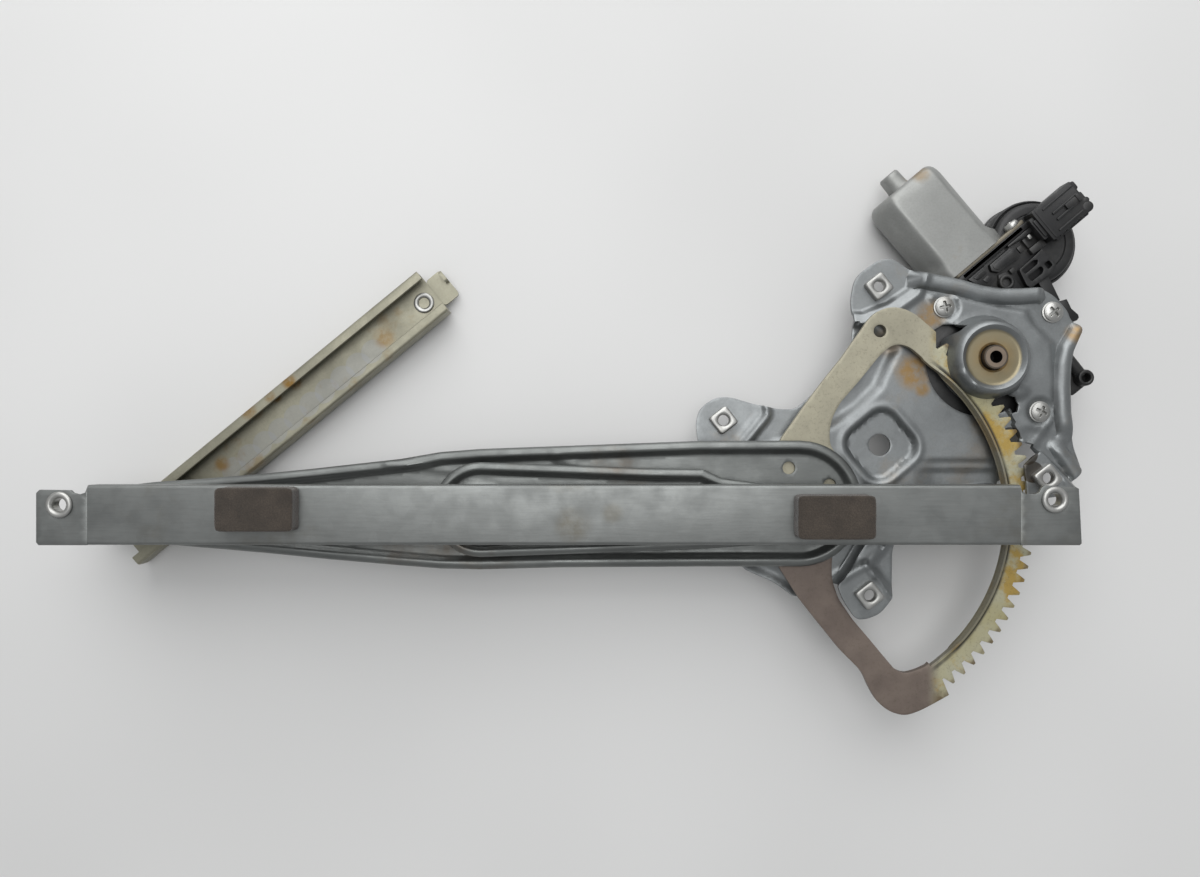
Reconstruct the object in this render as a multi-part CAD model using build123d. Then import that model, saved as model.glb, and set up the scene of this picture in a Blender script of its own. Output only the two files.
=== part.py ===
from build123d import *
import math
import os

# Power window regulator, X-arm type. Millimetres, +Z towards the glass side.
# Drawn about the main pivot P; the row origin is the locating hole in the base plate.
HOLE_FROM_P = (29.2, 32.1)

# ---- driving dimensions ------------------------------------------------------------
ARM_LENGTH = 307.0                       # pivot P to roller A; the equalizer spans the same
HALF_ARM = ARM_LENGTH / 2
REST_RISE = 2.25                         # height of the rail centre line above P at rest
REST_ANGLE = math.degrees(math.asin(REST_RISE / ARM_LENGTH))
SHEET = 1.6                              # plate, arms and channels
GEAR_SHEET = 3.0
GEAR_Z = 8.6                             # underside of the sector gear

MODULE = 2.0                             # sector gear and pinion
PRESSURE = math.radians(20)
SECTOR_TEETH, PINION_TEETH = 96, 8
SHIFT = 0.55                             # profile shift: + on the pinion, - on the sector
BACKLASH = 0.12                          # taken off each tooth at the pitch circle
SECTOR_ROOT, SECTOR_TIP = 92.4, 96.9
PINION_ROOT, PINION_TIP = 6.6, 10.6
CENTRES = MODULE * (SECTOR_TEETH + PINION_TEETH) / 2
PINION_ANGLE = 43.35                     # direction of the pinion from P
SECTOR_PHASE = 1.05                      # angle of one sector tooth
FIRST_TOOTH, LAST_TOOTH = -14, 14

RUNNING = 0.05                           # radial clearance of every turning pin
CHANNEL_GAP = 0.4                        # roller to channel wall

PLATE_Z = 4.0                            # base plate underside, below the gear
BRIDGE_Z = 14.4                          # base plate underside where it crosses above the gear
TAB_Z = 1.4                              # underside of the two left tabs
RECESS_Z = -0.8                          # underside of the locating recess
HOOD_Z = 16.9                            # underside of the pinion hood

ARM_Z = 11.6                             # lift arm web, seated on the gear
ARM_BEAD_TOP = 16.0
FRONT_Z = 16.8                           # equalizer front half, above the lift arm
FRONT_BEAD_TOP = 21.0
REAR_Z = 5.0                             # equalizer rear half, below the lift arm

RAIL_TOP, RAIL_DEPTH, RAIL_WIDTH = 34.5, 10.5, 25.8
RAIL_BEYOND_A, RAIL_BEYOND_B = 35.0, 106.2   # rail past roller A, and past roller B
GUIDE_TOP, GUIDE_DEPTH, GUIDE_WIDTH = -4.0, 10.5, 24.0
GUIDE_ANGLE = 39.4
GUIDE_LOW, GUIDE_HIGH = -24.0, 165.0     # channel ends measured from roller D
LIP = 3.0                                # channel lip beyond its wall

MOTOR_Z = -9.4                           # worm and motor axis
WHEEL_RADIUS = 22.0                      # worm wheel
WORM_RADIUS = 5.0
WORM_OFFSET = WHEEL_RADIUS + WORM_RADIUS + 0.8   # worm axis to pinion axis
CAN_ANGLE = 130.2                        # direction from the worm towards the motor end
CAN_START, CAN_END = 37.0, 85.0
CAN_RADIUS, CAN_FLAT = 18.0, 14.0

NUT_HOLE = 2.55                          # M6 thread
RAIL_NUT_HOLE = 2.9
LOCATING_HOLE = 5.1


ROLLER_LOW, ROLLER_HIGH = 25.9, 31.9     # rollers that run in the rail
GUIDE_ROLLER_LOW, GUIDE_ROLLER_HIGH = -11.7, -6.3
PINION_LOW, PINION_HIGH, PINION_NOSE = 7.0, 15.5, 20.5
PINION_SHAFT, PINION_TIP, PINION_BORE = 6.0, 5.3, 2.7
ARM_RATIO = ARM_LENGTH / 307.0           # share of the length that the arm outlines are drawn for


def reach(points):
    """Outline of an arm, carried to the actual arm length."""
    return [(x * ARM_RATIO, y) if x < 0 else (x, y) for x, y in points]


def polar(radius, degrees, centre=(0.0, 0.0)):
    a = math.radians(degrees)
    return (centre[0] + radius * math.cos(a), centre[1] + radius * math.sin(a))


P = (0.0, 0.0)
CAN_DIR = polar(1.0, CAN_ANGLE)
Q = polar(CENTRES, PINION_ANGLE)                     # pinion
A = polar(ARM_LENGTH, 180 - REST_ANGLE)              # roller on the lift arm
C = polar(HALF_ARM, 180 - REST_ANGLE)                # arm crossing
B = (0.0, REST_RISE)                                 # roller on the equalizer front half
D = (A[0], 0.0)                                      # roller on the equalizer rear half
HOLE = HOLE_FROM_P
NUTS_LOW = {"nut_top": (28.3, 105.2), "nut_left": (-43.4, 43.5)}
NUTS_HIGH = {"nut_bottom": (20.0, -34.9), "nut_right": (99.5, 17.5)}
SCREWS = [(58.0, 95.5), (107.9, 93.2), (102.0, 47.4)]
RAIL_LEFT, RAIL_RIGHT = A[0] - RAIL_BEYOND_A, RAIL_BEYOND_B
RAIL_NUTS = {"rail_nut_left": (RAIL_LEFT + 10.2, REST_RISE + 4.45),
             "rail_nut_right": (RAIL_RIGHT - 11.7, REST_RISE + 6.65)}
CAN_SIDE = polar(1.0, CAN_ANGLE - 90)                # across the can, away from the pinion
FOOT = (Q[0] + WORM_OFFSET * CAN_SIDE[0], Q[1] + WORM_OFFSET * CAN_SIDE[1])


# ---- drawing helpers ---------------------------------------------------------------
def slab(face, z0, z1):
    """Extrude a flat shape between two heights."""
    return extrude(Pos(0, 0, z0) * face, amount=z1 - z0, dir=(0, 0, 1))


def poly(points):
    return make_face(Polyline(*points, close=True))


def soft(points, radius):
    """Closed polygon whose corners are eased with three short chords each."""
    out = []
    for i, (x, y) in enumerate(points):
        (ax, ay), (bx, by) = points[i - 1], points[(i + 1) % len(points)]
        la, lb = math.dist((x, y), (ax, ay)), math.dist((x, y), (bx, by))
        cut = min(radius, 0.4 * la, 0.4 * lb)
        start = (x + (ax - x) * cut / la, y + (ay - y) * cut / la)
        end = (x + (bx - x) * cut / lb, y + (by - y) * cut / lb)
        for t in (0.0, 0.33, 0.67, 1.0):
            out.append(((1 - t) ** 2 * start[0] + 2 * t * (1 - t) * x + t * t * end[0],
                        (1 - t) ** 2 * start[1] + 2 * t * (1 - t) * y + t * t * end[1]))
    return poly(out)


def disc(centre, radius):
    return Pos(centre[0], centre[1]) * Circle(radius)


def pillar(centre, radius, z0, z1):
    return Pos(centre[0], centre[1], z0) * Cylinder(
        radius, z1 - z0, align=(Align.CENTER, Align.CENTER, Align.MIN))


def hull(circles):
    """Convex outline round a few circles."""
    edges = [e for c, r in circles for e in disc(c, r).edges()]
    return make_hull(edges)


def inset(face, amount):
    return offset(face, amount=-amount, kind=Kind.INTERSECTION)


def bead(face, width, z0, z1, sheet):
    """Hollow raised bead that follows the edge of a stamping."""
    ring = slab(face - inset(face, width), z0, z1)
    core = inset(face, sheet) - inset(face, width - sheet)
    return ring - slab(core, z0 - 1, z1 - sheet)


def along(start, direction, s, side=0.0):
    """Point s along a direction and side across it."""
    return (start[0] + s * direction[0] + side * CAN_SIDE[0],
            start[1] + s * direction[1] + side * CAN_SIDE[1])


def can_plane(s):
    """Plane across the motor axis, X along CAN_SIDE and Y up."""
    x, y = along(FOOT, CAN_DIR, s)
    return Plane(origin=(x, y, MOTOR_Z), x_dir=(CAN_SIDE[0], CAN_SIDE[1], 0),
                 z_dir=(CAN_DIR[0], CAN_DIR[1], 0))


def on_can(face, s0, s1):
    """Extrude a section along the motor axis."""
    return extrude(can_plane(s0) * face, amount=s1 - s0, dir=(CAN_DIR[0], CAN_DIR[1], 0))


# ---- gear teeth --------------------------------------------------------------------
def involute(angle):
    return math.tan(angle) - angle


def half_tooth(radius, teeth, shift):
    """Half angle in degrees of a tooth at a radius."""
    pitch = MODULE * teeth / 2
    base = pitch * math.cos(PRESSURE)
    thick = MODULE * (math.pi / 2 + 2 * shift * math.tan(PRESSURE)) - BACKLASH
    at = math.acos(min(1.0, base / max(radius, base)))
    return math.degrees(thick / (2 * pitch) + involute(PRESSURE) - involute(at))


def tooth_points(centre_angle, teeth, shift, radii):
    """Points of one tooth, clockwise edge first, from root to tip and back."""
    rise = [(r, half_tooth(r, teeth, shift)) for r in radii]
    down = [polar(r, centre_angle - h) for r, h in rise]
    return down + [polar(r, centre_angle + h) for r, h in reversed(rise)]


def pinion_face():
    start = 180 + PINION_ANGLE
    nearest = round((PINION_ANGLE - SECTOR_PHASE) * SECTOR_TEETH / 360)
    error = SECTOR_PHASE + nearest * 360 / SECTOR_TEETH - PINION_ANGLE
    gap = start - error * SECTOR_TEETH / PINION_TEETH
    points = []
    for i in range(PINION_TEETH):
        centre = gap + (i + 0.5) * 360 / PINION_TEETH
        points += tooth_points(centre, PINION_TEETH, SHIFT, [PINION_ROOT, 7.6, 8.6, 9.6, PINION_TIP])
    return Pos(Q[0], Q[1]) * poly(points)


# ---- lift body ---------------------------------------------------------------------
GEAR_LOWER = [(58.1, -81.3), (51.7, -84.9), (44.9, -88.5), (38.1, -90.8), (31.3, -89.0), (25.9, -84.9),
              (22.2, -79.0), (18.6, -70.8), (8.6, -60.8), (-0.5, -49.5), (-9.5, -38.2), (-19.5, -22.7),
              (-23.0, -8.0), (-23.0, 18.0)]
GEAR_UPPER = [(-18.6, 34.4), (-9.5, 47.2), (-0.5, 59.4), (8.6, 70.7), (17.7, 83.5), (21.3, 88.9),
              (24.5, 92.1), (29.0, 94.3), (33.6, 94.8), (38.1, 93.9), (42.7, 91.6), (47.0, 88.0),
              (52.2, 83.4)]
GEAR_ARC = 84.3                          # radius of the window's toothed side
GEAR_WINDOW = [(49.5, -67.2), (44.0, -69.9), (38.1, -71.6), (33.6, -69.9), (29.0, -64.5), (22.2, -56.3),
               (14.1, -46.8), (7.7, -37.3), (5.0, -29.1), (4.5, -22.3), (4.1, 32.2), (3.8, 38.1),
               (5.0, 44.4), (8.6, 51.2), (17.7, 61.7), (26.8, 73.0), (31.5, 77.0), (35.8, 78.0),
               (40.4, 76.6), (47.2, 70.9)]
CURL_ARC = (-50.0, 54.0)                 # where the window edge is turned up


def sector_teeth():
    points = []
    for n in range(FIRST_TOOTH, LAST_TOOTH + 1):
        centre = SECTOR_PHASE + n * 360 / SECTOR_TEETH
        points += tooth_points(centre, SECTOR_TEETH, -SHIFT, [SECTOR_ROOT, 94.0, 95.5, SECTOR_TIP])
    return points


def window_face():
    arc = [polar(GEAR_ARC, a) for a in range(54, -54, -4)]
    return poly(arc + GEAR_WINDOW) - disc(P, 17.0)


def curl_face():
    outer, inner = GEAR_ARC, GEAR_ARC - SHEET
    a0, a1 = CURL_ARC
    steps = [a0 + (a1 - a0) * i / 26 for i in range(27)]
    return poly([polar(outer, a) for a in steps] + [polar(inner, a) for a in reversed(steps)])


def make_sector_gear():
    outline = poly(GEAR_LOWER + GEAR_UPPER + [polar(SECTOR_ROOT, 55.6)]
                   + list(reversed(sector_teeth())) + [polar(SECTOR_ROOT, -53.4)])
    face = outline - window_face() - disc(P, 6.0 + RUNNING) - disc((26.8, 83.9), 2.9)
    plate = slab(face, GEAR_Z, GEAR_Z + GEAR_SHEET)
    return plate + slab(curl_face(), GEAR_Z, GEAR_Z + GEAR_SHEET + 2.2)


ARM_TOP = reach([(-300.1, 15.6), (-279.9, 16.9), (-252.9, 19.2), (-230.5, 21.4), (-190.1, 25.9), (-172.1, 29.0),
           (-154.2, 30.4), (-118.3, 31.7), (-55.4, 34.0), (-10.5, 34.2)])
ARM_BOTTOM = reach([(-10.5, -22.6), (-55.4, -22.6), (-118.3, -23.0), (-154.2, -23.9), (-172.1, -23.5),
              (-190.1, -22.1), (-221.5, -19.4), (-252.9, -16.3), (-284.3, -13.6), (-300.0, -12.4)])
ARM_END = reach([(-310.0, -11.2), (-316.5, -7.0), (-319.8, 0.5), (-317.5, 9.0), (-310.5, 14.4)])
ARM_ROUND = ((-10.5, 5.8), 28.4)
ARM_HOLES = [((-14.9, 21.8), 2.9), ((3.6, 14.1), 2.9)]


def arm_face():
    centre, radius = ARM_ROUND
    turn = [polar(radius, a, centre) for a in range(80, -90, -10)]
    return poly(ARM_TOP + turn + ARM_BOTTOM + ARM_END)


def make_lift_arm():
    face = arm_face()
    web = slab(face, ARM_Z, ARM_Z + SHEET)
    arm = web + bead(face, 6.0, ARM_Z, ARM_BEAD_TOP, SHEET)
    for centre, radius in ARM_HOLES:
        arm -= pillar(centre, radius, ARM_Z - 1, ARM_Z + 5)
    arm -= pillar(P, 6.0 + RUNNING, ARM_Z - 1, ARM_Z + 5)
    arm -= pillar(C, 9.0 + RUNNING, ARM_Z - 1, ARM_Z + 5)
    return arm - pillar(A, 4.0, ARM_Z - 1, ARM_Z + 5)


def make_stud(centre, z_low, z_web, z_shoulder, z_tip, upward):
    """Riveted stud: head below or above its web, shoulder, then a slim tip for the roller."""
    if upward:
        return (pillar(centre, 6.5, z_low, z_web) + pillar(centre, 4.0, z_web, z_web + SHEET)
                + pillar(centre, 5.0, z_web + SHEET, z_shoulder) + pillar(centre, 4.0, z_shoulder, z_tip))
    return (pillar(centre, 5.0, z_shoulder, z_web) + pillar(centre, 4.0, z_web, z_web + SHEET)
            + pillar(centre, 6.5, z_web + SHEET, z_low) + pillar(centre, 4.0, z_tip, z_shoulder))


# ---- equalizer body ----------------------------------------------------------------
FRONT_TOP = reach([(-153.5, 24.6), (-118.1, 23.3), (-78.0, 21.8), (-54.5, 21.5), (-45.9, 17.5), (-20.0, 14.0)])
FRONT_BOTTOM = reach([(-11.2, -11.0), (-55.7, -14.1), (-100.3, -15.9), (-153.5, -17.7)])
FRONT_ROUND = ((C[0], 3.45), 21.15)
FRONT_END = (B, 11.0)
BOSS = 13.4


def front_face():
    end = [polar(FRONT_END[1], a, FRONT_END[0]) for a in range(80, -90, -16)]
    turn = [polar(FRONT_ROUND[1], a, FRONT_ROUND[0]) for a in range(260, 95, -10)]
    return poly(FRONT_TOP + end + FRONT_BOTTOM + turn)


def make_equalizer_front():
    face = front_face()
    arm = slab(face, FRONT_Z, FRONT_Z + SHEET) + bead(face, 5.5, FRONT_Z, FRONT_BEAD_TOP, SHEET)
    arm += slab(disc(C, BOSS) - disc(C, BOSS - 2.4), FRONT_Z, FRONT_Z + 2.6)
    return arm - pillar(C, 5.0, FRONT_Z - 1, FRONT_Z + 4) - pillar(B, 4.0, FRONT_Z - 1, FRONT_Z + 6)


def make_equalizer_rear():
    face = hull([(C, 19.0), (D, 12.0)])
    arm = slab(face, REAR_Z, REAR_Z + SHEET)
    inner = hull([(C, 19.0 - SHEET), (D, 12.0 - SHEET)])
    rim = slab(face - inner, REAR_Z - 3.6, REAR_Z + SHEET)
    return arm + rim - pillar(C, 5.0, REAR_Z - 5, REAR_Z + 4) - pillar(D, 4.0, REAR_Z - 5, REAR_Z + 4)


def make_crossing_hub():
    ring = pillar(C, 9.0, REAR_Z + SHEET, FRONT_Z)
    return ring - pillar(C, 5.0, 0, 30)


def make_crossing_rivet():
    return (pillar(C, 8.0, REAR_Z - 2.0, REAR_Z) + pillar(C, 5.0, REAR_Z, FRONT_Z + SHEET)
            + pillar(C, 8.0, FRONT_Z + SHEET, FRONT_Z + SHEET + 1.8))


# ---- rollers, rail and guide -------------------------------------------------------
def make_roller(centre, radius, z0, z1):
    body = pillar(centre, radius, z0, z1) - pillar(centre, 4.0 + RUNNING, z0 - 1, z1 + 1)
    groove = pillar(centre, radius + 1, z0 + 2.2, z1 - 2.2) - pillar(centre, radius - 1.2, z0, z1)
    return body - groove


def channel_section(width, depth, flip):
    """C section with in-turned lips, drawn about its centre line; flip puts the slot on top."""
    half, s = width / 2, SHEET
    slot = half - s - LIP
    pts = [(-half, 0), (half, 0), (half, -depth), (slot, -depth), (slot, -depth + s), (half - s, -depth + s),
           (half - s, -s), (s - half, -s), (s - half, -depth + s), (-slot, -depth + s), (-slot, -depth),
           (-half, -depth)]
    return poly([(x, (-y if flip else y)) for x, y in pts])


def channel(width, depth, x0, x1, flip):
    plane = Plane(origin=(x0, 0, 0), x_dir=(0, 1, 0), z_dir=(1, 0, 0))
    return extrude(plane * channel_section(width, depth, flip), amount=x1 - x0, dir=(1, 0, 0))


WALLS = (RAIL_LEFT + 22.0, RAIL_RIGHT - 22.7)   # rail side walls stop short of its two ears
RAIL_PADS = {"pad_left": (0.8 * A[0] - 0.1, REST_RISE + 2.95), "pad_right": (B[0] - 0.8, REST_RISE - 0.35)}


def make_glass_rail():
    y, half = REST_RISE, RAIL_WIDTH / 2
    rail = Pos(0, y, RAIL_TOP) * channel(RAIL_WIDTH, RAIL_DEPTH, WALLS[0], WALLS[1], False)
    ears = soft([(RAIL_LEFT, y - half), (RAIL_RIGHT, y - half), (RAIL_RIGHT - 1.5, y + half - 2.2),
                 (RAIL_LEFT, y + half - 2.2)], 2.5)
    rail += slab(ears, RAIL_TOP - SHEET, RAIL_TOP)
    for centre in RAIL_NUTS.values():
        rail -= pillar(centre, 4.0, RAIL_TOP - 4, RAIL_TOP + 1)
    return rail


def make_rail_nut(centre):
    nut = pillar(centre, 5.7, RAIL_TOP, RAIL_TOP + 1.4) + pillar(centre, 4.0, RAIL_TOP - 5.0, RAIL_TOP)
    return nut - pillar(centre, RAIL_NUT_HOLE, RAIL_TOP - 8, RAIL_TOP + 3)


def make_pad(centre):
    box = slab(Pos(*centre) * RectangleRounded(33.0, 18.8, 1.5), RAIL_TOP, RAIL_TOP + 9.0)
    return chamfer(box.edges().group_by(Axis.Z)[-1], 0.8)


def to_guide(shape):
    """Place a shape drawn along X with roller D at the origin."""
    return Pos(D[0], D[1], 0) * Rot(0, 0, GUIDE_ANGLE) * shape


def make_guide_channel():
    floor = GUIDE_TOP - GUIDE_DEPTH
    body = Pos(0, 0, floor) * channel(GUIDE_WIDTH, GUIDE_DEPTH, GUIDE_LOW, GUIDE_HIGH, True)
    tab = soft([(GUIDE_HIGH - 3, -7.5), (GUIDE_HIGH + 9, -7.5), (GUIDE_HIGH + 9, 7.5), (GUIDE_HIGH - 3, 7.5)], 2)
    body += slab(tab, floor, floor + SHEET)
    body += Pos(GUIDE_HIGH + 8.2, 3.2, floor + 2.8) * Box(SHEET, 6.0, 5.6)
    for s in (GUIDE_HIGH - 7.0, GUIDE_LOW + 8.0):
        body -= pillar((s, 0), 3.6, floor - 1, floor + 3)
    return to_guide(body)


def make_guide_nut(s):
    floor = GUIDE_TOP - GUIDE_DEPTH
    nut = pillar((s, 0), 4.9, floor + SHEET, floor + SHEET + 1.0) + pillar((s, 0), 3.6, floor, floor + SHEET)
    return to_guide(nut - pillar((s, 0), NUT_HOLE, floor - 1, floor + 5))


# ---- base plate --------------------------------------------------------------------
PLATE = [(-35.0, -24.4), (-45.1, 6.8), (-50.0, 24.0), (-45.0, 36.0), (-30.0, 46.0), (-17.5, 48.7),
         (-9.7, 48.7), (5.5, 62.0), (16.1, 78.1), (17.0, 89.6), (24.0, 93.5), (44.0, 103.0), (47.5, 111.3),
         (56.1, 109.9), (65.3, 108.0), (74.5, 105.3), (83.7, 103.9), (92.9, 103.9), (102.1, 104.6),
         (109.0, 100.7), (115.0, 93.8), (116.4, 89.6), (121.0, 86.0), (118.2, 79.5), (116.4, 74.9),
         (115.7, 68.9), (115.5, 55.1), (115.9, 48.2), (116.8, 36.7), (115.0, 31.2), (119.0, 23.4),
         (110.0, 25.0), (99.0, 28.0), (78.0, 21.0), (50.0, 13.0), (36.0, 9.0), (31.0, -10.0), (10.0, -24.0),
         (-9.7, -38.2), (-19.8, -30.9)]
TAB_TOP = [(17.0, 92.0), (17.5, 108.0), (20.2, 111.7), (23.9, 114.5), (28.5, 117.7), (34.0, 118.6),
           (37.7, 116.8), (42.3, 113.6), (46.0, 108.0), (40.0, 100.0), (24.0, 92.0)]
TAB_LEFT = [(-54.3, 29.8), (-55.7, 39.0), (-55.7, 43.6), (-54.3, 48.2), (-51.5, 51.0), (-47.4, 53.8),
            (-42.3, 54.4), (-38.2, 53.8), (-29.0, 51.0), (-26.0, 46.0), (-42.0, 34.0), (-47.0, 24.0)]
BRIDGE = [(114.0, 33.0), (117.0, 30.0), (121.5, 20.5), (117.5, 13.5), (108.0, 9.5), (92.0, 7.0), (66.0, 2.5),
          (38.0, -8.0), (34.0, -20.0), (34.0, -33.0), (31.5, -41.0), (27.0, -45.8), (20.5, -47.5),
          (13.0, -45.0), (8.4, -39.0), (7.0, -31.0), (14.5, -25.5), (22.0, -19.0), (26.0, -8.0), (29.0, 4.0),
          (36.0, 11.0), (50.0, 15.5), (77.0, 24.0), (99.0, 30.0), (108.0, 33.0)]
STEP_INSIDE = [(33.0, 8.2), (50.0, 13.6), (75.5, 21.6), (75.0, 23.3), (49.6, 15.3), (32.6, 9.9)]
STEP_OUTSIDE = [(104.0, 27.0), (117.5, 29.4), (117.2, 31.2), (103.8, 28.8)]
HOOD = 19.5
OPENING = 26.0                           # radius of the plate opening round the pinion
GEAR_CLEAR = 99.6                        # nothing at gear height inside this radius


def plate_face():
    face = soft(PLATE, 2.0)
    inner = disc(Q, OPENING) & disc(P, GEAR_CLEAR)
    recess = Pos(*HOLE) * Rot(0, 0, 40) * RectangleRounded(26, 26, 7)
    return face - inner - disc(Q, HOOD - SHEET) - recess


def step_wall(face, z0, z1):
    """Vertical wall as thick as the sheet round the edge of a raised or sunk area."""
    return slab(face - inset(face, SHEET), z0, z1)


def make_recess():
    pan = Pos(*HOLE) * Rot(0, 0, 40) * RectangleRounded(26 + 2 * SHEET, 26 + 2 * SHEET, 7 + SHEET)
    low = slab(pan, RECESS_Z, RECESS_Z + SHEET) + step_wall(pan, RECESS_Z, PLATE_Z + SHEET)
    return low - pillar(HOLE, LOCATING_HOLE, -5, 5)


def make_tab(points, centre):
    """Sunk tab of the stamping: level with the plate's underside where it lies under the plate."""
    tab = slab(soft(points, 2.0), TAB_Z, TAB_Z + SHEET)
    joint = slab((soft(points, 2.0) & soft(PLATE, 2.0)) - disc(centre, 8.0), TAB_Z, PLATE_Z)
    return tab + joint - pillar(centre, 3.3, -5, 20)


def make_hood():
    top = slab(disc(Q, HOOD), HOOD_Z, HOOD_Z + SHEET)
    wall = slab(disc(Q, HOOD) - disc(Q, HOOD - SHEET) - disc(P, GEAR_CLEAR), PLATE_Z, HOOD_Z + SHEET)
    ring = slab(disc(Q, 16.0) - disc(Q, 11.6), HOOD_Z, HOOD_Z + 3.0)
    return top + wall + ring - pillar(Q, 5.6, 0, 40)


def make_plate_bridge():
    """Raised part of the stamping that crosses above the gear and carries two tabs."""
    bridge = slab(soft(BRIDGE, 1.5), BRIDGE_Z, BRIDGE_Z + SHEET)
    for centre in NUTS_HIGH.values():
        bridge -= pillar(centre, 3.3, 0, 40)
    return bridge


def make_steps():
    """Walls from the plate up to the bridge, on both sides of the gear's teeth."""
    return slab(poly(STEP_INSIDE), PLATE_Z, BRIDGE_Z) + slab(poly(STEP_OUTSIDE), PLATE_Z, BRIDGE_Z)


def make_base_plate():
    plate = slab(plate_face(), PLATE_Z, PLATE_Z + SHEET) + make_recess() + make_hood() + make_steps()
    plate -= pillar(NUTS_LOW["nut_top"], 8.0, -5, 20)
    plate -= pillar(NUTS_LOW["nut_left"], 8.0, -5, 20)
    plate -= pillar(P, 5.0, -5, 7)
    for centre in SCREWS:
        plate -= pillar(centre, 3.2, -5, 8)
    return plate


def make_weld_nut(centre, z):
    block = Pos(*centre) * Rot(0, 0, 38) * RectangleRounded(9.9, 9.9, 1.2)
    return slab(block, z, z + 3.6) - pillar(centre, NUT_HOLE, z - 1, z + 5)


def make_pivot_pin():
    return (pillar(P, 8.0, PLATE_Z - 1.4, PLATE_Z) + pillar(P, 5.0, PLATE_Z, PLATE_Z + SHEET)
            + pillar(P, 12.0, PLATE_Z + SHEET, GEAR_Z - 0.1) + pillar(P, 6.0, GEAR_Z - 0.1, ARM_Z + SHEET + 0.1)
            + pillar(P, 9.5, ARM_Z + SHEET + 0.1, ARM_Z + SHEET + 2.4))


# ---- motor -------------------------------------------------------------------------
DRUM = (103.2, 126.5)
HOUSING_TOP, HOUSING_BOTTOM = 3.0, -19.0
HOUSING_RADIUS = WHEEL_RADIUS + 7.0      # round the worm wheel
EAR = (122.6, 62.2)                      # housing ear with a hole, beyond the right bead
FLANGE = (42.0, 25.0)                    # housing flange under the motor can
DRUM_RADIUS = 21.0
DRUM_TOP = -0.5
BLOCK = (13.0, -12.0, 30.0)              # nearest to the worm's foot along the can, and its two sides


def make_screw(centre):
    """Pan head screw with a cross recess."""
    z = PLATE_Z + SHEET
    screw = pillar(centre, 4.2, z, z + 2.6) + pillar(centre, 2.4, z - 12.0, z)
    cross = Pos(centre[0], centre[1], z + 2.2) * (Box(4.6, 1.0, 1.6) + Box(1.0, 4.6, 1.6))
    return screw - cross


def housing_face():
    face = hull([(Q, HOUSING_RADIUS), (SCREWS[0], 7.0)]) + hull([(Q, HOUSING_RADIUS), (SCREWS[1], 7.0)])
    face += hull([(Q, HOUSING_RADIUS), (SCREWS[2], 7.0)]) + hull([(SCREWS[1], 7.0), (along(FOOT, CAN_DIR, 21), 12.0)])
    return face + hull([(EAR, 5.0), (SCREWS[1], 6.0), (SCREWS[2], 6.0)])


def make_gear_housing():
    body = slab(housing_face(), HOUSING_BOTTOM, HOUSING_TOP)
    body += on_can(Circle(9.5), -24, CAN_START - 1.6)
    body += on_can(Pos(9, 0) * RectangleRounded(*FLANGE, 4), CAN_START - 4, CAN_START - SHEET)
    near, left, right = BLOCK
    block = poly([along(FOOT, CAN_DIR, CAN_START - 4, left), along(FOOT, CAN_DIR, CAN_START - 4, right),
                  along(FOOT, CAN_DIR, near, right - 3), along(FOOT, CAN_DIR, near + 9, left)])
    body += slab(block, HOUSING_BOTTOM, HOUSING_TOP)
    for centre in SCREWS:
        body += pillar(centre, 6.0, HOUSING_BOTTOM, PLATE_Z)
    body -= pillar(Q, WHEEL_RADIUS + 2.5, HOUSING_BOTTOM - 1, -4.3)
    body -= on_can(Circle(6.6), -19, CAN_START + 1)
    body -= pillar(Q, 6.0 + RUNNING, -10, 10) + pillar(EAR, 1.9, -30, 20)
    for centre in SCREWS:
        body -= pillar(centre, 2.4, PLATE_Z + SHEET - 12.0, 20)
    return body - drum_keepout()


def drum_keepout():
    return pillar(DRUM, DRUM_RADIUS, -40, DRUM_TOP)


def make_housing_cover():
    return pillar(Q, WHEEL_RADIUS + 5.0, HOUSING_BOTTOM - 2.0, HOUSING_BOTTOM)


def make_electronics_drum():
    drum = pillar(DRUM, DRUM_RADIUS, -20.0, DRUM_TOP) - pillar(DRUM, DRUM_RADIUS - 2.0, -18.0, DRUM_TOP - 2.0)
    return drum - can_block() - on_can(Pos(9, 0) * RectangleRounded(FLANGE[0] + 1.4, FLANGE[1] + 1.0, 4), CAN_START - 4.2, CAN_START + 0.2)


def can_block():
    return on_can(Circle(CAN_RADIUS + 0.3), CAN_START - 1.6, 100) + on_can(Circle(9.7), -30, CAN_START)


def flat_circle(radius, flat):
    return Circle(radius) & Rectangle(2 * radius + 2, 2 * flat)


def make_motor_can():
    can = on_can(flat_circle(CAN_RADIUS, CAN_FLAT), CAN_START, CAN_END)
    can = can + on_can(Circle(5.3), CAN_END, CAN_END + 8.0)
    can -= on_can(flat_circle(CAN_RADIUS - SHEET, CAN_FLAT - SHEET), CAN_START - 1, CAN_END - SHEET)
    return can - on_can(Circle(2.5 + RUNNING), CAN_END - 3, CAN_END + 6.0)


def make_brush_plate():
    face = Pos(9, 0) * RectangleRounded(FLANGE[0] + 1.0, FLANGE[1], 4) - Circle(4.0)
    return on_can(face, CAN_START - 1.6, CAN_START)


def make_magnet(sign):
    ring = Circle(CAN_RADIUS - SHEET) - Circle(12.8)
    face = ring & Pos(sign * 14, 0) * Rectangle(12, 15)
    return on_can(face, CAN_START + 12, CAN_END - 8)


def make_motor_shaft():
    shaft = on_can(Circle(2.5), -18, CAN_END + 5)
    return shaft + on_can(Circle(WORM_RADIUS), -13, 13)


def make_armature():
    return on_can(Circle(12.0) - Circle(2.5), CAN_START + 14, CAN_END - 10)


def make_commutator():
    return on_can(Circle(6.0) - Circle(2.5), CAN_START + 4, CAN_START + 12)


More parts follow.
